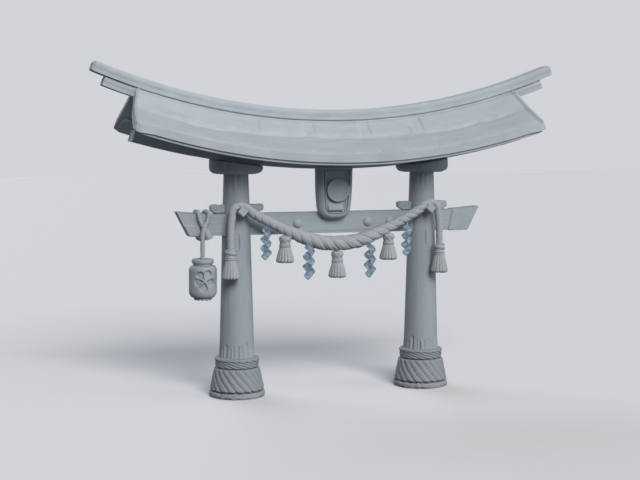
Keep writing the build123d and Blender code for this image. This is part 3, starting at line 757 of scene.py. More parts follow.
def bend_to_roof(piece):
    """Bend a straight timber about the level axis above the gate; lengths at the ridge top are kept."""
    bpy.ops.object.select_all(action="DESELECT")
    bpy.ops.object.empty_add(location=(0, 0, RIDGE_HEIGHT), rotation=(pi / 2, 0, 0))
    pivot = bpy.context.active_object
    xs = [v.co.x for v in piece.data.vertices]
    modify(piece, "SIMPLE_DEFORM", deform_method="BEND", deform_axis="Z", origin=pivot,
           angle=(max(xs) - min(xs)) / ROOF_RADIUS)
    take(pivot)
    bpy.ops.object.delete()


def make_ridge_timber(name, half, width, high_drop, low_drop, edge, node):
    """A ridge timber with rounded top edges and ends, sides set back below, and dished end faces.

    The drops place its upper and lower faces below the ridge top.
    """
    top = RIDGE_HEIGHT - high_drop
    piece = block(name, (-half, -width / 2, RIDGE_HEIGHT - low_drop), (half, width / 2, top))
    shape(piece)
    choose("EDGE", lambda at, d: abs(at.x) > half - TOUCH or (at.z > top - TOUCH and abs(d.x) > 0.9))
    bpy.ops.mesh.bevel(offset=edge, segments=5, affect="EDGES")
    choose("FACE", lambda at, n: abs(n.x) > 0.999 and abs(at.x) > half - TOUCH)
    inset(0.014)
    rise(-0.010)
    saw(0, steps(-half, half, 72))
    height = low_drop - high_drop
    saw(2, [top - height * share for share in (0.38, 0.48, 0.58, 0.68, 0.84)])
    leave()
    round_over(piece, 0.007, 2, 40)
    bend_to_roof(piece)
    soften(piece)

    def weathering(at, normal):
        broad = 0.0035 * grain(at.x * 2.1, at.y * 4, at.z * 4)
        nicks = -0.006 * smooth_step(0.42, 0.62, grain(at.x * 9, at.y * 14, at.z * 9 + 4))
        down = (hypot(at.x, ROOF_RADIUS + RIDGE_HEIGHT - at.z) - ROOF_RADIUS - high_drop) / height
        set_back = -0.008 * smooth_step(0.40, 0.72, down) if abs(normal.y) > 0.5 else 0
        return broad + nicks + set_back
    carve(piece, weathering)
    finish_piece(piece, cypress_roof_painted_light, "gate", [node], 40)


# Each slope is steep above its fold and flatter below it: distance from the middle plane, and the
# drops of the upper and the lower face below the ridge top.
SLOPE_SECTION = [(0.125, 0.140, 0.292), (0.490, 0.462, 0.595), (0.963, 0.662, 0.779)]
SLOPE_HALF_LENGTH = straight_half(3.184, 0.68)
# Strips where the boards were left thin, as distances from the middle along the roof.
ROOF_STRIPS = [(0.345, 0.505), (1.175, 1.335)]
GABLE_ROLL = 0.070                 # width of the roll along each end
# Nicks in the eave: place along the roof and half length.
EAVE_NICKS = [(-1.47, 0.09), (-0.505, 0.075), (0.48, 0.06), (1.35, 0.05)]


def make_front_boards():
    """The front slope's boards, still straight, with round plan corners at the eave."""
    half = SLOPE_HALF_LENGTH
    inner_y, fold_y, eave_y = [-section[0] for section in SLOPE_SECTION]
    start = RIDGE_HEIGHT - 0.2
    piece = block("roof_boards_front", (-half, eave_y, start), (half, inner_y, RIDGE_HEIGHT))
    shape(piece)
    saw(1, [fold_y])
    for y, upper, lower in SLOPE_SECTION:
        move_corners(lambda at, n: abs(at.y + y) < TOUCH and at.z > RIDGE_HEIGHT - 0.01, (0, 0, -upper))
        move_corners(lambda at, n: abs(at.y + y) < TOUCH and abs(at.z - start) < 0.01,
                     (0, 0, RIDGE_HEIGHT - lower - start))
    choose("EDGE", lambda at, d: abs(at.x) > half - TOUCH and at.y < eave_y + TOUCH and abs(d.z) > 0.9)
    bpy.ops.mesh.bevel(offset=0.12, segments=9, affect="EDGES")
    cuts = [half - GABLE_ROLL * k / 5 for k in range(1, 8)]
    cuts += [edge + d for strip in ROOF_STRIPS for edge in strip for d in (-0.030, -0.010, 0.010, 0.030)]
    saw(0, [side * x for side in (-1, 1) for x in cuts] + steps(-half, half, 60))
    saw(1, [eave_y + d for d in (0.02, 0.045, 0.07)])
    saw(1, [-0.84, -0.78, -0.71, -0.64, -0.59, -0.55, -0.52, -0.46, -0.43, -0.38, -0.31, -0.25, -0.21,
            -0.185, -0.16])
    leave()
    round_over(piece, 0.014, 3, 40)
    return piece


def finish_slope(piece, name, nodes):
    """Bend the slope, then work its surface: gable rolls, strips, the crease, lumps, nicks and corners."""
    bend_to_roof(piece)
    soften(piece)
    roll_height, strip_depth, crease_depth, lump_height = 0.019, 0.013, 0.034, 0.018
    knot_height, nick_depth, droop = 0.024, 0.026, 0.036

    def along_roof(at):
        """Places from the middle of the roof and from its nearer end, along its curve."""
        arc = ROOF_RADIUS * atan2(at.x, ROOF_RADIUS + RIDGE_HEIGHT - at.z)
        return arc, SLOPE_HALF_LENGTH - abs(arc)

    def weathering(at, normal):
        if normal.z < 0.2:
            return 0.002 * grain(at.x * 3, at.y * 3, at.z * 3)
        arc, from_end = along_roof(at)
        y = abs(at.y)
        inside = smooth_step(0.10, 0.5, from_end)
        roll = roll_height * groove(from_end - GABLE_ROLL / 2, GABLE_ROLL / 2)
        roll -= 0.008 * groove(from_end - 0.088, 0.024)
        under_ridge = -0.022 * (1 - smooth_step(0.168, 0.205, y))
        nose = -0.016 * smooth_step(0.82, 0.965, y) ** 2
        strip = 0
        across_strip = smooth_step(0.185, 0.215, y) * (1 - smooth_step(0.38, 0.45, y))
        for low, high in ROOF_STRIPS:
            edge = 0.004 * grain(arc * 3, y * 14, 5)
            near = smooth_step(low - 0.022, low + 0.018, abs(arc) + edge)
            far = 1 - smooth_step(high - 0.018, high + 0.022, abs(arc) + edge)
            strip -= strip_depth * near * far * across_strip
        line = 0.430 + 0.060 * smooth_step(0.3, 2.1, abs(arc))
        line += 0.030 * grain(arc * 2.2, 0, 1.5) + 0.016 * grain(arc * 8, 7, 1.5)
        strength = (0.75 + 0.5 * grain(arc * 1.7, 3, at.y)) * (1 - 0.45 * smooth_step(0.8, 2.5, arc))
        crease = -crease_depth * groove(y - line, 0.060) * inside * strength
        lump = lump_height * smooth_step(0.12, 0.4, grain(arc * 6, 11, at.y)) * inside
        lump *= groove(y - line + 0.035, 0.045)
        knot = knot_height * groove(hypot(abs(arc) - 2.25, (y - 0.47) * 1.3), 0.075)
        nick = -nick_depth * sum(groove(arc - place, reach) for place, reach in EAVE_NICKS)
        nick *= groove(y - 0.865, 0.028)
        broad = 0.006 * grain(arc * 1.6, at.y * 2.4, 9) + 0.002 * grain(arc * 6, at.y * 8, 2)
        return roll + under_ridge + nose + strip + crease + lump + knot + nick + broad
    carve(piece, weathering)

    def drooping_corner(at):
        from_end = along_roof(at)[1]
        outer = smooth_step(0.50, 0.88, abs(at.y))
        return (0, 0, -droop * (1 - smooth_step(0, 0.34, from_end)) * outer)
    nudge(piece, drooping_corner)
    piece.name = piece.data.name = name
    finish_piece(piece, cypress_roof_painted_light, "gate", nodes, 45)


def make_eave_board(name, node):
    """The board under a slope's eave, from the fold outwards, with round plan corners."""
    low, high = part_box(node)
    outward = -1 if low.y < 0 else 1
    half = straight_half(high.x, 0.80) - 0.030
    inner, outer = outward * 0.490, outward * 0.930
    piece = block(name, (-half, min(inner, outer), 0), (half, max(inner, outer), 1))
    shape(piece)
    for y, upper, lower in ((inner, 0.597, 0.657), (outer, 0.776, 0.828)):
        move_corners(lambda at, n: abs(at.y - y) < TOUCH and 0.9 < at.z < 1.1,
                     (0, 0, RIDGE_HEIGHT - upper - 1))
        move_corners(lambda at, n: abs(at.y - y) < TOUCH and abs(at.z) < 0.1, (0, 0, RIDGE_HEIGHT - lower))
    choose("EDGE", lambda at, d: abs(at.x) > half - TOUCH and abs(at.y - outer) < TOUCH and abs(d.z) > 0.9)
    bpy.ops.mesh.bevel(offset=0.07, segments=6, affect="EDGES")
    saw(0, steps(-half, half, 60))
    leave()
    round_over(piece, 0.012, 3)
    bend_to_roof(piece)
    rough(piece, 0.002, 0.3)
    finish_piece(piece, cypress_roof_painted_light, "gate", [node], 40)


def make_lintel():
    """The curved beam and its two end blocks, with worn edges and dished ends."""
    piece = node_copy("lintel", "cypress_lintel")
    shape(piece)
    saw(0, steps(-2.73, 2.73, 48))
    leave()
    round_over(piece, 0.016, 3, 25)
    rough(piece, 0.0025, 0.3)
    finish_piece(piece, cypress_along, "gate", ["lintel"])
    ends = node_copy("lintel_ends", "cypress_lintel_ends")
    shape(ends)
    choose("FACE", lambda at, n: abs(n.x) > 0.8 and abs(at.x) > 2.9)
    inset(0.022)
    rise(-0.010)
    leave()
    round_over(ends, 0.030, 4, 25)
    rough(ends, 0.0025, 0.25)
    finish_piece(ends, cypress_along, "gate", ["lintel_ends"])


def make_ribs():
    """The upright timbers inside the roof that carry its slopes."""
    piece = node_copy("roof_ribs", "cypress_roof_ribs")
    round_over(piece, 0.006, 2)
    finish_piece(piece, cypress_upright, "gate", ["roof_ribs"])


make_ridge_timber("cypress_ridge_cap", straight_half(3.625, 0), 0.320, 0, 0.157, 0.042, "ridge_cap")
make_ridge_timber("cypress_ridge_beam", straight_half(3.522, 0.300), 0.250, 0.157, 0.300, 0.022, "ridge_beam")
front_boards = make_front_boards()
rear_boards = twin(front_boards, "roof_boards_rear", mirror=1)
finish_slope(front_boards, "cypress_roof_front", ["roof_slope_front", "verge_trims"])
finish_slope(rear_boards, "cypress_roof_rear", ["roof_slope_rear"])
make_eave_board("cypress_eave_front", "eave_board_front")
make_eave_board("cypress_eave_rear", "eave_board_rear")
make_lintel()
make_ribs()


# ---- Straw rope ----
ROPE_Y = -0.3378                   # the upright plane that the rope hangs in
PEG_Z = 2.814


def rope_line(name, route, spacing):
    """Evenly spaced points along the smooth line that a rope's route gives."""
    curve = bpy.data.curves.new(name, "CURVE")
    curve.dimensions = "3D"
    spline = curve.splines.new("NURBS")
    spline.points.add(len(route) - 1)
    for point, place in zip(spline.points, route):
        point.co = (*place, 1)
    spline.order_u, spline.use_endpoint_u, spline.resolution_u = 3, True, 12
    guide = bpy.data.objects.new(name, curve)
    bpy.context.scene.collection.objects.link(guide)
    bpy.context.view_layer.update()
    drawn = bpy.data.meshes.new_from_object(guide)
    points = [v.co.copy() for v in drawn.vertices]
    bpy.data.objects.remove(guide)
    bpy.data.meshes.remove(drawn)
    reached = [0.0]
    for before, after in zip(points, points[1:]):
        reached.append(reached[-1] + (after - before).length)
    count = max(8, round(reached[-1] / spacing))
    line, index = [], 0
    for step in range(count + 1):
        goal = reached[-1] * step / count
        while index < len(points) - 2 and reached[index + 1] < goal:
            index += 1
        share = (goal - reached[index]) / (reached[index + 1] - reached[index])
        line.append(points[index].lerp(points[index + 1], min(1, max(0, share))))
    return line


def strand_reach(angle, strands, depth):
    """How far a rope of round strands reaches at an angle, and the angle about the nearest strand."""
    part = 2 * pi / strands
    near = (angle + part / 2) % part - part / 2
    centre, round_radius = depth, 1 - depth
    reach = centre * cos(near) + sqrt(max(0.0, round_radius ** 2 - (centre * sin(near)) ** 2))
    return reach, atan2(reach * sin(near), reach * cos(near) - centre)


def worn_reach(angle, along, strands, depth, fibres, fray, notch):
    """How far a worn rope reaches at an angle from its first strand, along being the place in rope radii."""
    wear_height, seam_width = 0.045, 0.62 / strands
    part = 2 * pi / strands
    reach, bearing = strand_reach(angle, strands, depth)
    strand = floor((angle + part / 2) / part) % strands
    fibre = abs(sin(fibres * bearing / 2 + along * 1.7 + strand * 2.1))
    wear = grain(along * 2.2, strand * 5.3, bearing * 1.6)
    seam = part / 2 - abs((angle + part / 2) % part - part / 2)
    worn = 0.55 + 0.9 * grain(along * 0.9, strand * 3.1, 7.7)
    reach += fray * (fibre - 0.6) + wear_height * wear
    return reach - notch * worn * (1 - smooth_step(0.0, seam_width, seam))


def skin_rings(name, places, sides, tips):
    """A closed skin over equal rings of places, with a tip in the middle of each end."""
    rings = [[(first + side, first + (side + 1) % sides) for side in range(sides)]
             for first in range(0, len(places), sides)]
    faces = [(*near, far[1], far[0]) for ring, beyond in zip(rings, rings[1:])
             for near, far in zip(ring, beyond)]
    for ring, order, tip in zip((rings[0], rings[-1]), (-1, 1), tips):
        places.append(tip)
        faces += [(*pair[::order], len(places) - 1) for pair in ring]
    mesh = bpy.data.meshes.new(name)
    mesh.from_pydata(places, [], faces)
    piece = bpy.data.objects.new(name, mesh)
    bpy.context.scene.collection.objects.link(piece)
    shape(piece)
    choose_all()
    bpy.ops.mesh.normals_make_consistent(inside=False)
    leave()
    return piece


def lay_rope(name, line, radius_at, strands=3, lay=4.2, sides=72, depth=0.42, start_turn=0.0, fibres=9,
             fray=0.03, notch=0.0):
    """A twisted rope along a line.

    lay is one strand's full turn, depth the strands' distance from the middle, fray the height of the
    fibres and notch the depth of the worn seams between strands, all in rope radii.
    """
    last = len(line) - 1
    tangents = [(line[min(k + 1, last)] - line[max(k - 1, 0)]).normalized() for k in range(last + 1)]
    across = tangents[0].cross(Vector((0, -1, 0)))
    if across.length < 0.1:
        across = tangents[0].cross(Vector((0, 0, 1)))
    across.normalize()
    places, turn, travelled = [], start_turn, 0.0
    for k, middle in enumerate(line):
        radius = radius_at(middle)
        if k:
            step = (middle - line[k - 1]).length
            travelled += step
            turn += 2 * pi * step / (lay * radius)
            across = tangents[k - 1].rotation_difference(tangents[k]) @ across
            across = (across - tangents[k] * across.dot(tangents[k])).normalized()
        beside = tangents[k].cross(across)
        for angle in [2 * pi * side / sides for side in range(sides)]:
            reach = worn_reach(angle - turn, travelled / radius, strands, depth, fibres, fray, notch)
            places.append(middle + (across * cos(angle) + beside * sin(angle)) * radius * reach)
    tips = [line[k] + tangents[k] * order * radius_at(line[k]) * 0.12 for k, order in ((0, -1), (last, 1))]
    return skin_rings(name, places, sides, tips)


# The swag's route from the middle to the top of the right peg: X, drop below the peg, radius.
SWAG = [(0, 0.494, 0.1145), (0.18, 0.486, 0.1145), (0.36, 0.456, 0.111), (0.57, 0.380, 0.102),
        (0.78, 0.290, 0.085), (0.99, 0.188, 0.076), (1.20, 0.082, 0.074), (1.35, -0.004, 0.070),
        (1.4114, -0.072, 0.063), (1.48, -0.103, 0.058), (1.53, -0.105, 0.056)]
# A tail's route from the top of the peg to its tassel: X, drop below the peg, radius.
TAIL = [(1.45, -0.092, 0.054), (1.52, -0.112, 0.060), (1.595, -0.090, 0.060), (1.640, -0.030, 0.058),
        (1.645, 0.070, 0.057), (1.664, 0.170, 0.055), (1.671, 0.330, 0.054), (1.671, 0.529, 0.054)]


def make_swag():
    """The thick rope that hangs between the pegs."""
    half = [(x, ROPE_Y, PEG_Z - drop) for x, drop, radius in SWAG]
    route = [(-x, y, z) for x, y, z in half[:0:-1]] + half
    radii = [(x, radius) for x, drop, radius in SWAG]
    line = rope_line("swag_route", route, 0.011)
    piece = lay_rope("rice_straw_swag", line, lambda at: between(radii, abs(at.x)), sides=120, lay=5.0,
                     depth=0.13, start_turn=0.9, fray=0.036, notch=0.19)
    finish_piece(piece, straw, "gate", ["rope_swag"], 70)


def make_tail(side, sign):
    """The rope's end that hangs down outside a peg."""
    route = [(sign * x, ROPE_Y, PEG_Z - drop) for x, drop, radius in TAIL]
    radii = [(drop, radius) for x, drop, radius in TAIL]
    line = rope_line("tail_route", route, 0.008)
    piece = lay_rope("rice_straw_tail_" + side, line, lambda at: between(radii, PEG_Z - at.z), sides=84,
                     lay=5.6, depth=0.12, start_turn=0.4 + sign, fray=0.036, notch=0.18)
    finish_piece(piece, straw, "gate", ["rope_tail_" + side], 70)


def make_pegs():
    """Square peg heads set on a corner and tilted up, on round shafts that go into the posts."""
    half, front, back = 0.058, -0.418, -0.320
    pieces = []
    for axis_x in (-POST_X, POST_X):
        shaft = lathe("peg", [(0, 0.0), (0.0225, 0.0), (0.0235, 0.01), (0.0235, 0.30), (0, 0.30)],
                      (axis_x, -0.111, PEG_Z), axis=1, sides=32)
        head = block("peg_head", (axis_x - half, front, PEG_Z - half), (axis_x + half, back, PEG_Z + half))
        shape(head)
        choose("FACE", lambda at, n: n.y < -0.9)
        for thickness, swell in ((0.006, 0.008), (0.026, 0.004)):
            inset(thickness)
            shift((0, -swell, 0))
        choose_all()
        bpy.ops.transform.rotate(value=pi / 4, orient_axis="Y", center_override=(axis_x, -0.41, PEG_Z))
        move_corners(lambda at, n: at.y < -0.37, (0.004, 0, 0.022))
        leave()
        round_over(head, 0.006, 3)
        nudge(head, lambda at: (0, 0.34 * (at.z - PEG_Z) if at.y < -0.36 else 0, 0))
        pieces += [shaft, head]
    piece = join("cypress_rope_pegs", pieces)
    rough(piece, 0.0022, 0.03)
    finish_piece(piece, cypress_upright, "gate", ["rope_pegs"])


# ---- Tassels ----
def hanging_head(top, radius):
    """A short cord and a ball of wound straw: their outline, the neck's height and one band's height."""
    ball_top, tall, last = top - 0.058, 0.132, 165
    outline = [(0, top + 0.035), (0.012, top + 0.034), (0.020, top + 0.028), (0.021, top - 0.02),
               (0.022, top - 0.045)]
    for turn in range(0, last + 1, 11):
        share = (1 - cos(radians(turn))) / (1 - cos(radians(last)))
        reach = radius * sin(radians(min(turn + 20, 132))) ** 0.60
        outline.append((max(0.03, reach), ball_top - tall * share))
    return outline, ball_top - tall, 0.018


def knotted_head(top, radius):
    """The knob of a tail's tassel, straight under the rope: as for hanging_head."""
    outline = [(0, top), (0.03, top), (0.055, top - 0.003)]
    for turn in range(20, 151, 10):
        share = (1 - cos(radians(turn - 20))) / (1 - cos(radians(130)))
        outline.append((radius * sin(radians(turn)) ** 0.34, top - 0.004 - 0.120 * share))
    return outline, top - 0.125, 0.026


def tassel_outline(head_outline, neck, band_height, narrow, skirt, hem):
    """A tassel's outline from its head over two cords round the neck to the hem, and the skirt's top."""
    outline = list(head_outline)
    for band in range(2):
        for turn in range(0, 181, 30):
            drop = (band_height - 0.0015) * (1 - cos(radians(turn))) / 2
            outline.append((narrow + 0.009 * sin(radians(turn)), neck - band * band_height - drop))
    skirt_top, rows = neck - 2 * band_height - 0.002, 40
    for share in [k / rows for k in range(rows + 1)]:
        flare = narrow - 0.002 + (skirt - narrow) * (0.25 * sin(pi * share / 2) + 0.75 * share)
        outline.append((flare, skirt_top - (skirt_top - hem - 0.034) * share))
    outline += [(skirt - 0.002, hem + 0.024), (skirt - 0.008, hem + 0.015), (skirt - 0.018, hem + 0.008),
                (skirt - 0.032, hem + 0.003), (skirt * 0.55, hem), (skirt * 0.3, hem + 0.004),
                (0, hem + 0.006)]
    return outline, skirt_top


def make_tassel(name, node, head, head_radius):
    """A bound straw tassel: wound head, two cords round its neck and a pleated, flared skirt."""
    low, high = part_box(node)
    axis_x, hem, skirt = (low.x + high.x) / 2, low.z, (high.x - low.x) / 2
    head_outline, neck, band_height = head(high.z, head_radius)
    outline, skirt_top = tassel_outline(head_outline, neck, band_height, head_radius * 0.86, skirt, hem)
    piece = lathe(name, outline, (axis_x, ROPE_Y, 0), sides=144)

    def pleats(angle):
        """The pleats' slow sway at an angle, and 1 on a pleat's crest or 0 between two pleats."""
        sway = 0.5 * round_grain(angle, 2.5, 3.3 + axis_x)
        return sway, abs(sin(8 * angle + sway))

    def binding(place, normal):
        angle, reach = about(place, axis_x, ROPE_Y)
        if reach < 0.027:
            return 0
        z = place.z
        if z > neck + 0.004 and head is knotted_head:
            return -0.020 * (1 - abs(sin(0.5 * angle + 42 * (z - neck)))) ** 2.2
        if z > neck + 0.004:
            bind = abs(sin(3.5 * angle + 34 * (z - neck)))
            return -0.006 * (1 - bind) ** 1.4 - 0.001 * abs(sin(21 * angle + 100 * z))
        if z > skirt_top + 0.002:
            return -0.003 * (1 - abs(sin(14 * angle + 130 * z)))
        share = min(1, (skirt_top - z) / (skirt_top - hem))
        sway, pleat = pleats(angle)
        fine = abs(sin(27 * angle + 2 * sway + 2 * round_grain(angle, 8, z * 4)))
        inside = smooth_step(0.3 * skirt, 0.8 * skirt, reach)
        return (0.005 - 0.019 * (1 - pleat) ** 1.8 * (0.4 + 0.6 * share) - 0.0012 * (1 - fine)) * inside
    carve(piece, binding)

    def scallop(place):
        angle, reach = about(place, axis_x, ROPE_Y)
        if place.z > hem + 0.03 or reach < 0.05:
            return (0, 0, 0)
        return (0, 0, 0.009 * (1 - pleats(angle)[1]))
    nudge(piece, scallop)
    finish_piece(piece, straw, "gate", [node], 70)


# ---- Folded paper streamers ----
# Each streamer: X and Z of its top, the plane it hangs in, and its size beside the middle ones.
STREAMERS = [(-1.1265, 2.565, -0.365, 0.9), (-0.463, 2.305, -0.400, 1.0), (0.515, 2.305, -0.400, 1.0),
             (1.1265, 2.565, -0.365, 0.9)]
# Each leaf: X and drop of its middle, half its width and length, tilt in the gate's plane and turn
# about upright, in degrees.
LEAVES = [(-0.022, 0.030, 0.040, 0.050, 50, 20), (0.032, 0.092, 0.058, 0.062, 43, -28),
          (-0.034, 0.166, 0.056, 0.062, -46, 28), (0.034, 0.242, 0.058, 0.062, 44, -28),
          (-0.036, 0.320, 0.058, 0.062, -46, 28), (0.004, 0.424, 0.060, 0.096, -44, -16)]


def make_leaf(place, half, size, tilt, turn, pattern):
    """One thick leaf with round corners, a raised rim and a rippled face, tilted and turned."""
    hollow, ripple = 0.0055, 0.016
    leaf = block("leaf", [p - h for p, h in zip(place, half)], [p + h for p, h in zip(place, half)])
    shape(leaf)
    choose("EDGE", lambda at, d: abs(d.y) > 0.9)
    bpy.ops.mesh.bevel(offset=0.027 * size, segments=4, affect="EDGES")
    choose("FACE", lambda at, n: abs(n.y) > 0.9)
    inset(0.012 * size)
    inset(0.006 * size)
    choose("FACE", lambda at, n: abs(n.y) > 0.9 and hypot(at.x - place[0], at.z - place[2]) < 0.01)
    rise(-hollow)
    saw(0, [place[0] - 0.02 * size, place[0] + 0.02 * size])
    saw(2, [place[2] - 0.03 * size, place[2], place[2] + 0.03 * size])
    choose_all()
    bpy.ops.transform.rotate(value=radians(tilt), orient_axis="Y", center_override=place)
    bpy.ops.transform.rotate(value=radians(turn), orient_axis="Z", center_override=place)
    leave()
    round_over(leaf, 0.0018, 2)
    soften(leaf)
    nudge(leaf, lambda at: (0, ripple * grain(at.x * 22, pattern, at.z * 22), 0))
    return leaf


def make_streamers():
    """Zigzags of folded leaves, each zigzag under a narrow link."""
    half_thickness = 0.006
    pieces = []
    for top_x, top_z, front, size in STREAMERS:
        link = block("link", (top_x - 0.010, front - 0.003, top_z - 0.05),
                     (top_x + 0.010, front + 0.003, top_z + 0.09))
        round_over(link, 0.002, 2)
        pieces.append(link)
        for index, (x, drop, half_width, half_length, tilt, turn) in enumerate(LEAVES):
            step = half_thickness if index % 2 else -half_thickness
            place = (top_x + x * size, front + step, top_z - drop * size)
            half = (half_width * size, half_thickness, half_length * size)
            pieces.append(make_leaf(place, half, size, tilt, turn, index))
    piece = join("washi_streamers", pieces)
    finish_piece(piece, washi_painted_shade, "gate", ["paper_streamers"])


make_swag()
make_tail("left", -1)
make_tail("right", 1)
make_pegs()
for tassel_side in ("left", "centre", "right"):
    make_tassel("rice_straw_tassel_" + tassel_side, "rope_tassel_" + tassel_side, hanging_head, 0.095)
for tassel_side in ("left", "right"):
    make_tassel("rice_straw_tail_tassel_" + tassel_side, "tail_tassel_" + tassel_side, knotted_head, 0.093)
make_streamers()


# ---- Tablet, its round mirror and ledge ----
def tablet_plate(name, back, front):
    """The tablet's outline as a plate: wider at the top, with round lower corners."""
    top, bottom, wide, narrow, corner = 3.444, 2.676, 0.290, 0.228, 0.172
    piece = block(name, (-narrow, -front, bottom), (narrow, -back, top))
    shape(piece)
    for sign in (-1, 1):
        move_corners(lambda at, n: at.x * sign > 0 and at.z > 3, (sign * (wide - narrow), 0, 0))
    choose("EDGE", lambda at, d: at.z < bottom + 0.01 and abs(d.y) > 0.9)
    bpy.ops.mesh.bevel(offset=corner, segments=12, affect="EDGES")
    return piece


def lean_forward(at):
    """The face leans forward over its height and its front stands a little to the right; the back stays."""
    if at.y > -0.12:
        return (0, 0, 0)
    foot, height, lean = 2.66, 0.78, 0.038
    share = (at.z - foot) / height
    return (0.014 * smooth_step(-0.20, -0.24, at.y), -lean * share, 0)


def make_tablet():
    """Board and frame in one: a rounded outer frame, a deep step, a raised moulding and a sunk panel."""
    piece = tablet_plate("cypress_tablet", 0.105, 0.170)
    choose("FACE", lambda at, n: n.y < -0.9)
    for thickness, depth in ((0.008, 0.022), (0.014, 0.024), (0.020, 0.020), (0.020, 0.009), (0.010, 0.000)):
        inset(thickness)
        shift((0, -depth, 0))
    inset(0.004)
    rise(-0.028)
    inset(0.018)
    rise(0.018)
    inset(0.018)
    rise(-0.016)
    inset(0.010)
    saw(2, [2.741, 2.80, 2.87, 2.93, 3.0, 3.1, 3.2, 3.3, 3.38])
    leave()
    round_over(piece, 0.005, 3, 40)
    swell = [(2.66, 0), (2.75, 0.013), (2.87, 0.021), (3.0, 0.022), (3.2, 0.014), (3.40, 0)]
    nudge(piece, lambda at: (between(swell, at.z) * at.x / 0.26, 0, 0))
    nudge(piece, lean_forward)
    nudge(piece, lambda at: (0, 0, 0.070 if at.z > 3.27 and at.y < -0.203 else 0))
    rough(piece, 0.0015, 0.12)
    finish_piece(piece, cypress_upright, "gate", ["tablet_board", "tablet_frame"], 40)


def make_mirror():
    """A round mirror with a raised rim, on a stub that goes into the panel."""
    middle, radius = 3.130, 0.180
    outline = [(0, 0.026), (0.04, 0.0258), (0.08, 0.0252), (0.12, 0.0245), (0.155, 0.0240), (0.160, 0.0245),
               (0.164, 0.028), (0.170, 0.0295), (0.176, 0.028), (radius, 0.022), (radius, 0.006),
               (radius - 0.004, 0.001), (0.14, 0.0), (0.14, -0.06), (0, -0.06)]
    piece = lathe("mirror_disc", outline, (0.018, -0.250, middle), axis=1, sides=96)
    nudge(piece, lean_forward)
    rough(piece, 0.0008, 0.06)
    finish_piece(piece, cypress_upright, "gate", ["tablet_disc"])


def make_ledge():
    """The small shelf at the panel's foot: a block whose front slopes back above its nose."""
    low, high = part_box("tablet_shelf")
    slope_top = 2.950
    piece = block("cypress_tablet_ledge", (low.x, low.y - 0.022, low.z - 0.006), (high.x, high.y, slope_top))
    shape(piece)
    saw(2, [high.z - 0.004, high.z + 0.030])
    move_corners(lambda at, n: at.y < low.y and abs(at.z - high.z - 0.030) < 0.01, (0, 0.028, 0))
    move_corners(lambda at, n: at.y < low.y and at.z > slope_top - 0.01, (0, 0.046, 0))
    leave()
    round_over(piece, 0.006, 3)
    finish_piece(piece, cypress_along, "gate", ["tablet_shelf"])


make_tablet()
make_mirror()
make_ledge()


# ---- Hanging lantern and its lashing ----
LANTERN_X, LANTERN_Y, PIVOT_Z = -2.066, -0.196, 2.372


def about_lantern(place):
    return about(place, LANTERN_X, LANTERN_Y)


def make_lantern_cap():
    """A turned lid with a rounded, overhanging edge and a dished top."""
    low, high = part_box("lantern_cap")
    foot, head = low.z, high.z
    outline = [(0, foot), (0.10, foot), (0.138, foot)]
    outline += [(reach, foot + above) for reach, above in (
        (0.142, 0.004), (0.142, 0.022), (0.146, 0.028), (0.156, 0.034), (0.162, 0.044), (0.165, 0.058),
        (0.164, 0.074), (0.160, 0.088))]
    outline += [(reach, head - below) for reach, below in (
        (0.152, 0.003), (0.144, 0), (0.134, 0.002), (0.125, 0.008), (0.09, 0.010), (0.05, 0.008), (0, 0.008))]
    piece = lathe("lantern_cap_turned", outline, (LANTERN_X, LANTERN_Y, 0), sides=96)
    carve(piece, lambda at, n: 0.0025 * grain(at.x * 18, at.y * 18, at.z * 18))
    finish_piece(piece, cypress_upright, "lantern", ["lantern_cap"])


# The blossom's petals: angle from upright, length and half width, each round outside and pointed inside.
PETALS = [(turn, 0.166, 0.062) for turn in (42, 100, 172, -105, -28)]


def petal_depth(across, up):
    """Share of full depth at a place on the barrel, measured from the blossom's middle."""
    deepest = 0.0
    for angle, length, half_width in PETALS:
        lean = radians(angle)
        along = up * cos(lean) - across * sin(lean)
        beside = up * sin(lean) + across * cos(lean)
        share = along / length
        if not 0.14 < share < 1.02:
            continue
        width = half_width * min(1.0, (share - 0.12) / 0.50) ** 0.9
        if share > 0.70:
            width *= sqrt(max(0.0, 1 - ((share - 0.70) / 0.32) ** 2))
        deepest = max(deepest, smooth_step(-0.003, 0.009, width - abs(beside)))
    return deepest


def make_lantern_shade():
    """Oiled paper on a frame, with a five-petalled blossom pressed into the front."""
    low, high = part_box("lantern_shade")
    radius, foot, head = (high.x - low.x) / 2, low.z, high.z
    base, shoulder, base_height, shoulder_height = 0.140, 0.160, 0.105, 0.074

    def rounding(inner, turn):
        """Radius and share of the height at a turn of a rounded end, from level (0) to upright (90)."""
        return inner + (radius - inner) * sin(radians(turn)) ** 0.9, 1 - cos(radians(turn))
    outline = [(0.0, foot + 0.004), (0.10, foot + 0.002), (base, foot)]
    for reach, share in [rounding(base, turn) for turn in range(10, 86, 8)]:
        outline.append((reach, foot + base_height * share))
    outline += [(radius, z) for z in steps(foot + 0.100, head - 0.072, 66)]
    for reach, share in [rounding(shoulder, turn) for turn in range(86, 9, -8)]:
        outline.append((reach, head - shoulder_height * share))
    outline += [(shoulder, head), (0.150, head - 0.001), (0.10, head - 0.004), (0.0, head - 0.004)]
    piece = lathe("lantern_paper_barrel", outline, (LANTERN_X, LANTERN_Y, 0), sides=232)
    blossom_z, blossom_turn, blossom_reach, press_depth = 1.816, -pi / 2 - 0.07, 0.25, 0.032

    def pressing(place, normal):
        angle, reach = about_lantern(place)
        if reach < 0.15:
            return 0
        across = (angle - blossom_turn) * radius
        soft = 0.0022 * grain(place.x * 9, place.y * 9, place.z * 9)
        if abs(across) > blossom_reach:
            return soft
        return soft - press_depth * petal_depth(across, place.z - blossom_z)
    carve(piece, pressing)
    finish_piece(piece, lantern_paper, "lantern", ["lantern_shade"], 50)


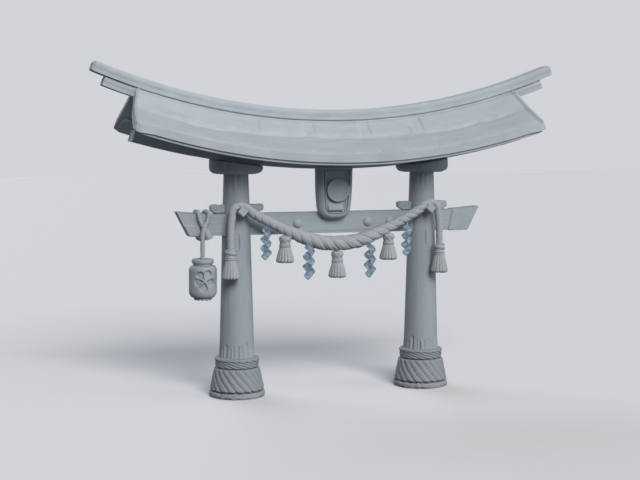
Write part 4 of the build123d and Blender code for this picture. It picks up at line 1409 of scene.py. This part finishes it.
def make_lantern_foot():
    """The ring under the barrel, its lower edge cut in eleven small scallops."""
    low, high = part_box("lantern_foot")
    foot, head, radius, bore = low.z, high.z, (high.x - low.x) / 2, 0.09
    outline = [(bore, head - 0.002), (bore, foot + 0.012), (0.098, foot + 0.004), (0.106, foot),
               (0.118, foot + 0.003), (radius - 0.004, foot + 0.010), (radius, foot + 0.020),
               (radius - 0.003, foot + 0.032), (radius - 0.008, head - 0.002), (bore, head - 0.002)]
    piece = lathe("lantern_foot_ring", outline, (LANTERN_X, LANTERN_Y, 0), sides=96)

    def scallop(at):
        return (0, 0, 0.007 * (1 + sin(11 * about_lantern(at)[0])) if at.z < foot + 0.015 else 0)
    nudge(piece, scallop)
    finish_piece(piece, cypress_upright, "lantern", ["lantern_foot"], 50)


def make_lantern_rope():
    """The short rope that swings with the lantern; its top is hidden in the knot."""
    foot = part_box("lantern_rope")[0].z
    route = [(LANTERN_X, LANTERN_Y, z) for z in (PIVOT_Z + 0.02, 2.33, 2.25, 2.18, foot - 0.004)]
    line = rope_line("lantern_rope_route", route, 0.004)
    piece = lay_rope("rice_straw_lantern_rope", line, lambda at: 0.036, sides=60, lay=3.2, depth=0.38,
                     fibres=5, fray=0.05)
    finish_piece(piece, straw, "lantern", ["lantern_rope"], 70)


def make_lashing():
    """Two turns of rope round the beam's end that cross in front, a bound crossing and a frayed tail."""
    front, back, top, low = -0.141, 0.139, 2.822, 2.422
    left_x, right_x = -2.110, -1.962
    left_turn = [(left_x, 0.02, top), (left_x, -0.09, top + 0.002), (left_x, front + 0.006, top - 0.008),
                 (-2.108, front - 0.003, 2.77), (-2.092, front - 0.006, 2.70), (-2.062, front - 0.010, 2.63),
                 (-2.034, front - 0.018, 2.57), (-2.012, front - 0.028, 2.51), (-1.998, front - 0.03, 2.47)]
    left_back = [(left_x, 0.02, top), (left_x, 0.09, top), (left_x, back, 2.80), (-2.09, back + 0.002, 2.62),
                 (-2.07, back, 2.45), (-2.075, 0.10, low), (-2.078, 0.0, low), (-2.078, -0.09, low),
                 (-2.078, front - 0.01, low + 0.012), (-2.070, front - 0.035, 2.455),
                 (LANTERN_X, LANTERN_Y + 0.012, 2.50)]
    right_turn = [(right_x, 0.02, top - 0.004), (right_x, -0.09, top), (-1.960, front, top - 0.012),
                  (-1.958, front - 0.006, 2.77), (-1.972, front - 0.012, 2.70), (-2.012, front - 0.030, 2.63),
                  (-2.044, front - 0.045, 2.575), (-2.062, LANTERN_Y, 2.51), (LANTERN_X, LANTERN_Y, 2.45),
                  (LANTERN_X, LANTERN_Y, PIVOT_Z + 0.012)]
    right_back = [(right_x, 0.02, top - 0.004), (right_x, 0.09, top - 0.004), (-1.98, back, 2.79),
                  (-2.035, back + 0.004, 2.62), (-2.05, back, 2.45), (-2.035, 0.10, low), (-2.02, 0.0, low),
                  (-2.02, -0.09, low), (-2.035, front - 0.012, low + 0.02), (-2.050, LANTERN_Y + 0.02, 2.50)]
    binding = [(-2.080, front - 0.02, 2.612), (-2.058, front - 0.062, 2.616), (-2.018, front - 0.066, 2.612),
               (-1.984, front - 0.03, 2.602)]
    tail = [(-2.046, front - 0.022, 2.645), (-2.024, front - 0.034, 2.580), (-1.992, front - 0.036, 2.510),
            (-1.952, front - 0.034, 2.425)]
    pieces = [
        lay_rope("turn", rope_line("lashing_route", route, 0.007), lambda at: 0.035, sides=42, lay=4.4,
                 depth=0.34, fibres=5, fray=0.03, start_turn=index, notch=0.16)
        for index, route in enumerate((left_turn, left_back, right_turn, right_back))]
    pieces.append(lay_rope("binding", rope_line("binding_route", binding, 0.004), lambda at: 0.012, sides=24,
                           lay=4, depth=0.36, fibres=3, fray=0.02))
    pieces.append(lay_rope("frayed_end", rope_line("frayed_end_route", tail, 0.005),
                           lambda at: 0.034 + 0.024 * smooth_step(2.60, 2.44, at.z), strands=5, sides=70,
                           lay=12, depth=0.34, fibres=5, fray=0.05, start_turn=0.5))
    piece = join("rice_straw_lashing", pieces)
    finish_piece(piece, straw, "gate", ["lantern_tie"], 70)


make_lantern_cap()
make_lantern_shade()
make_lantern_foot()
make_lantern_rope()
make_lashing()
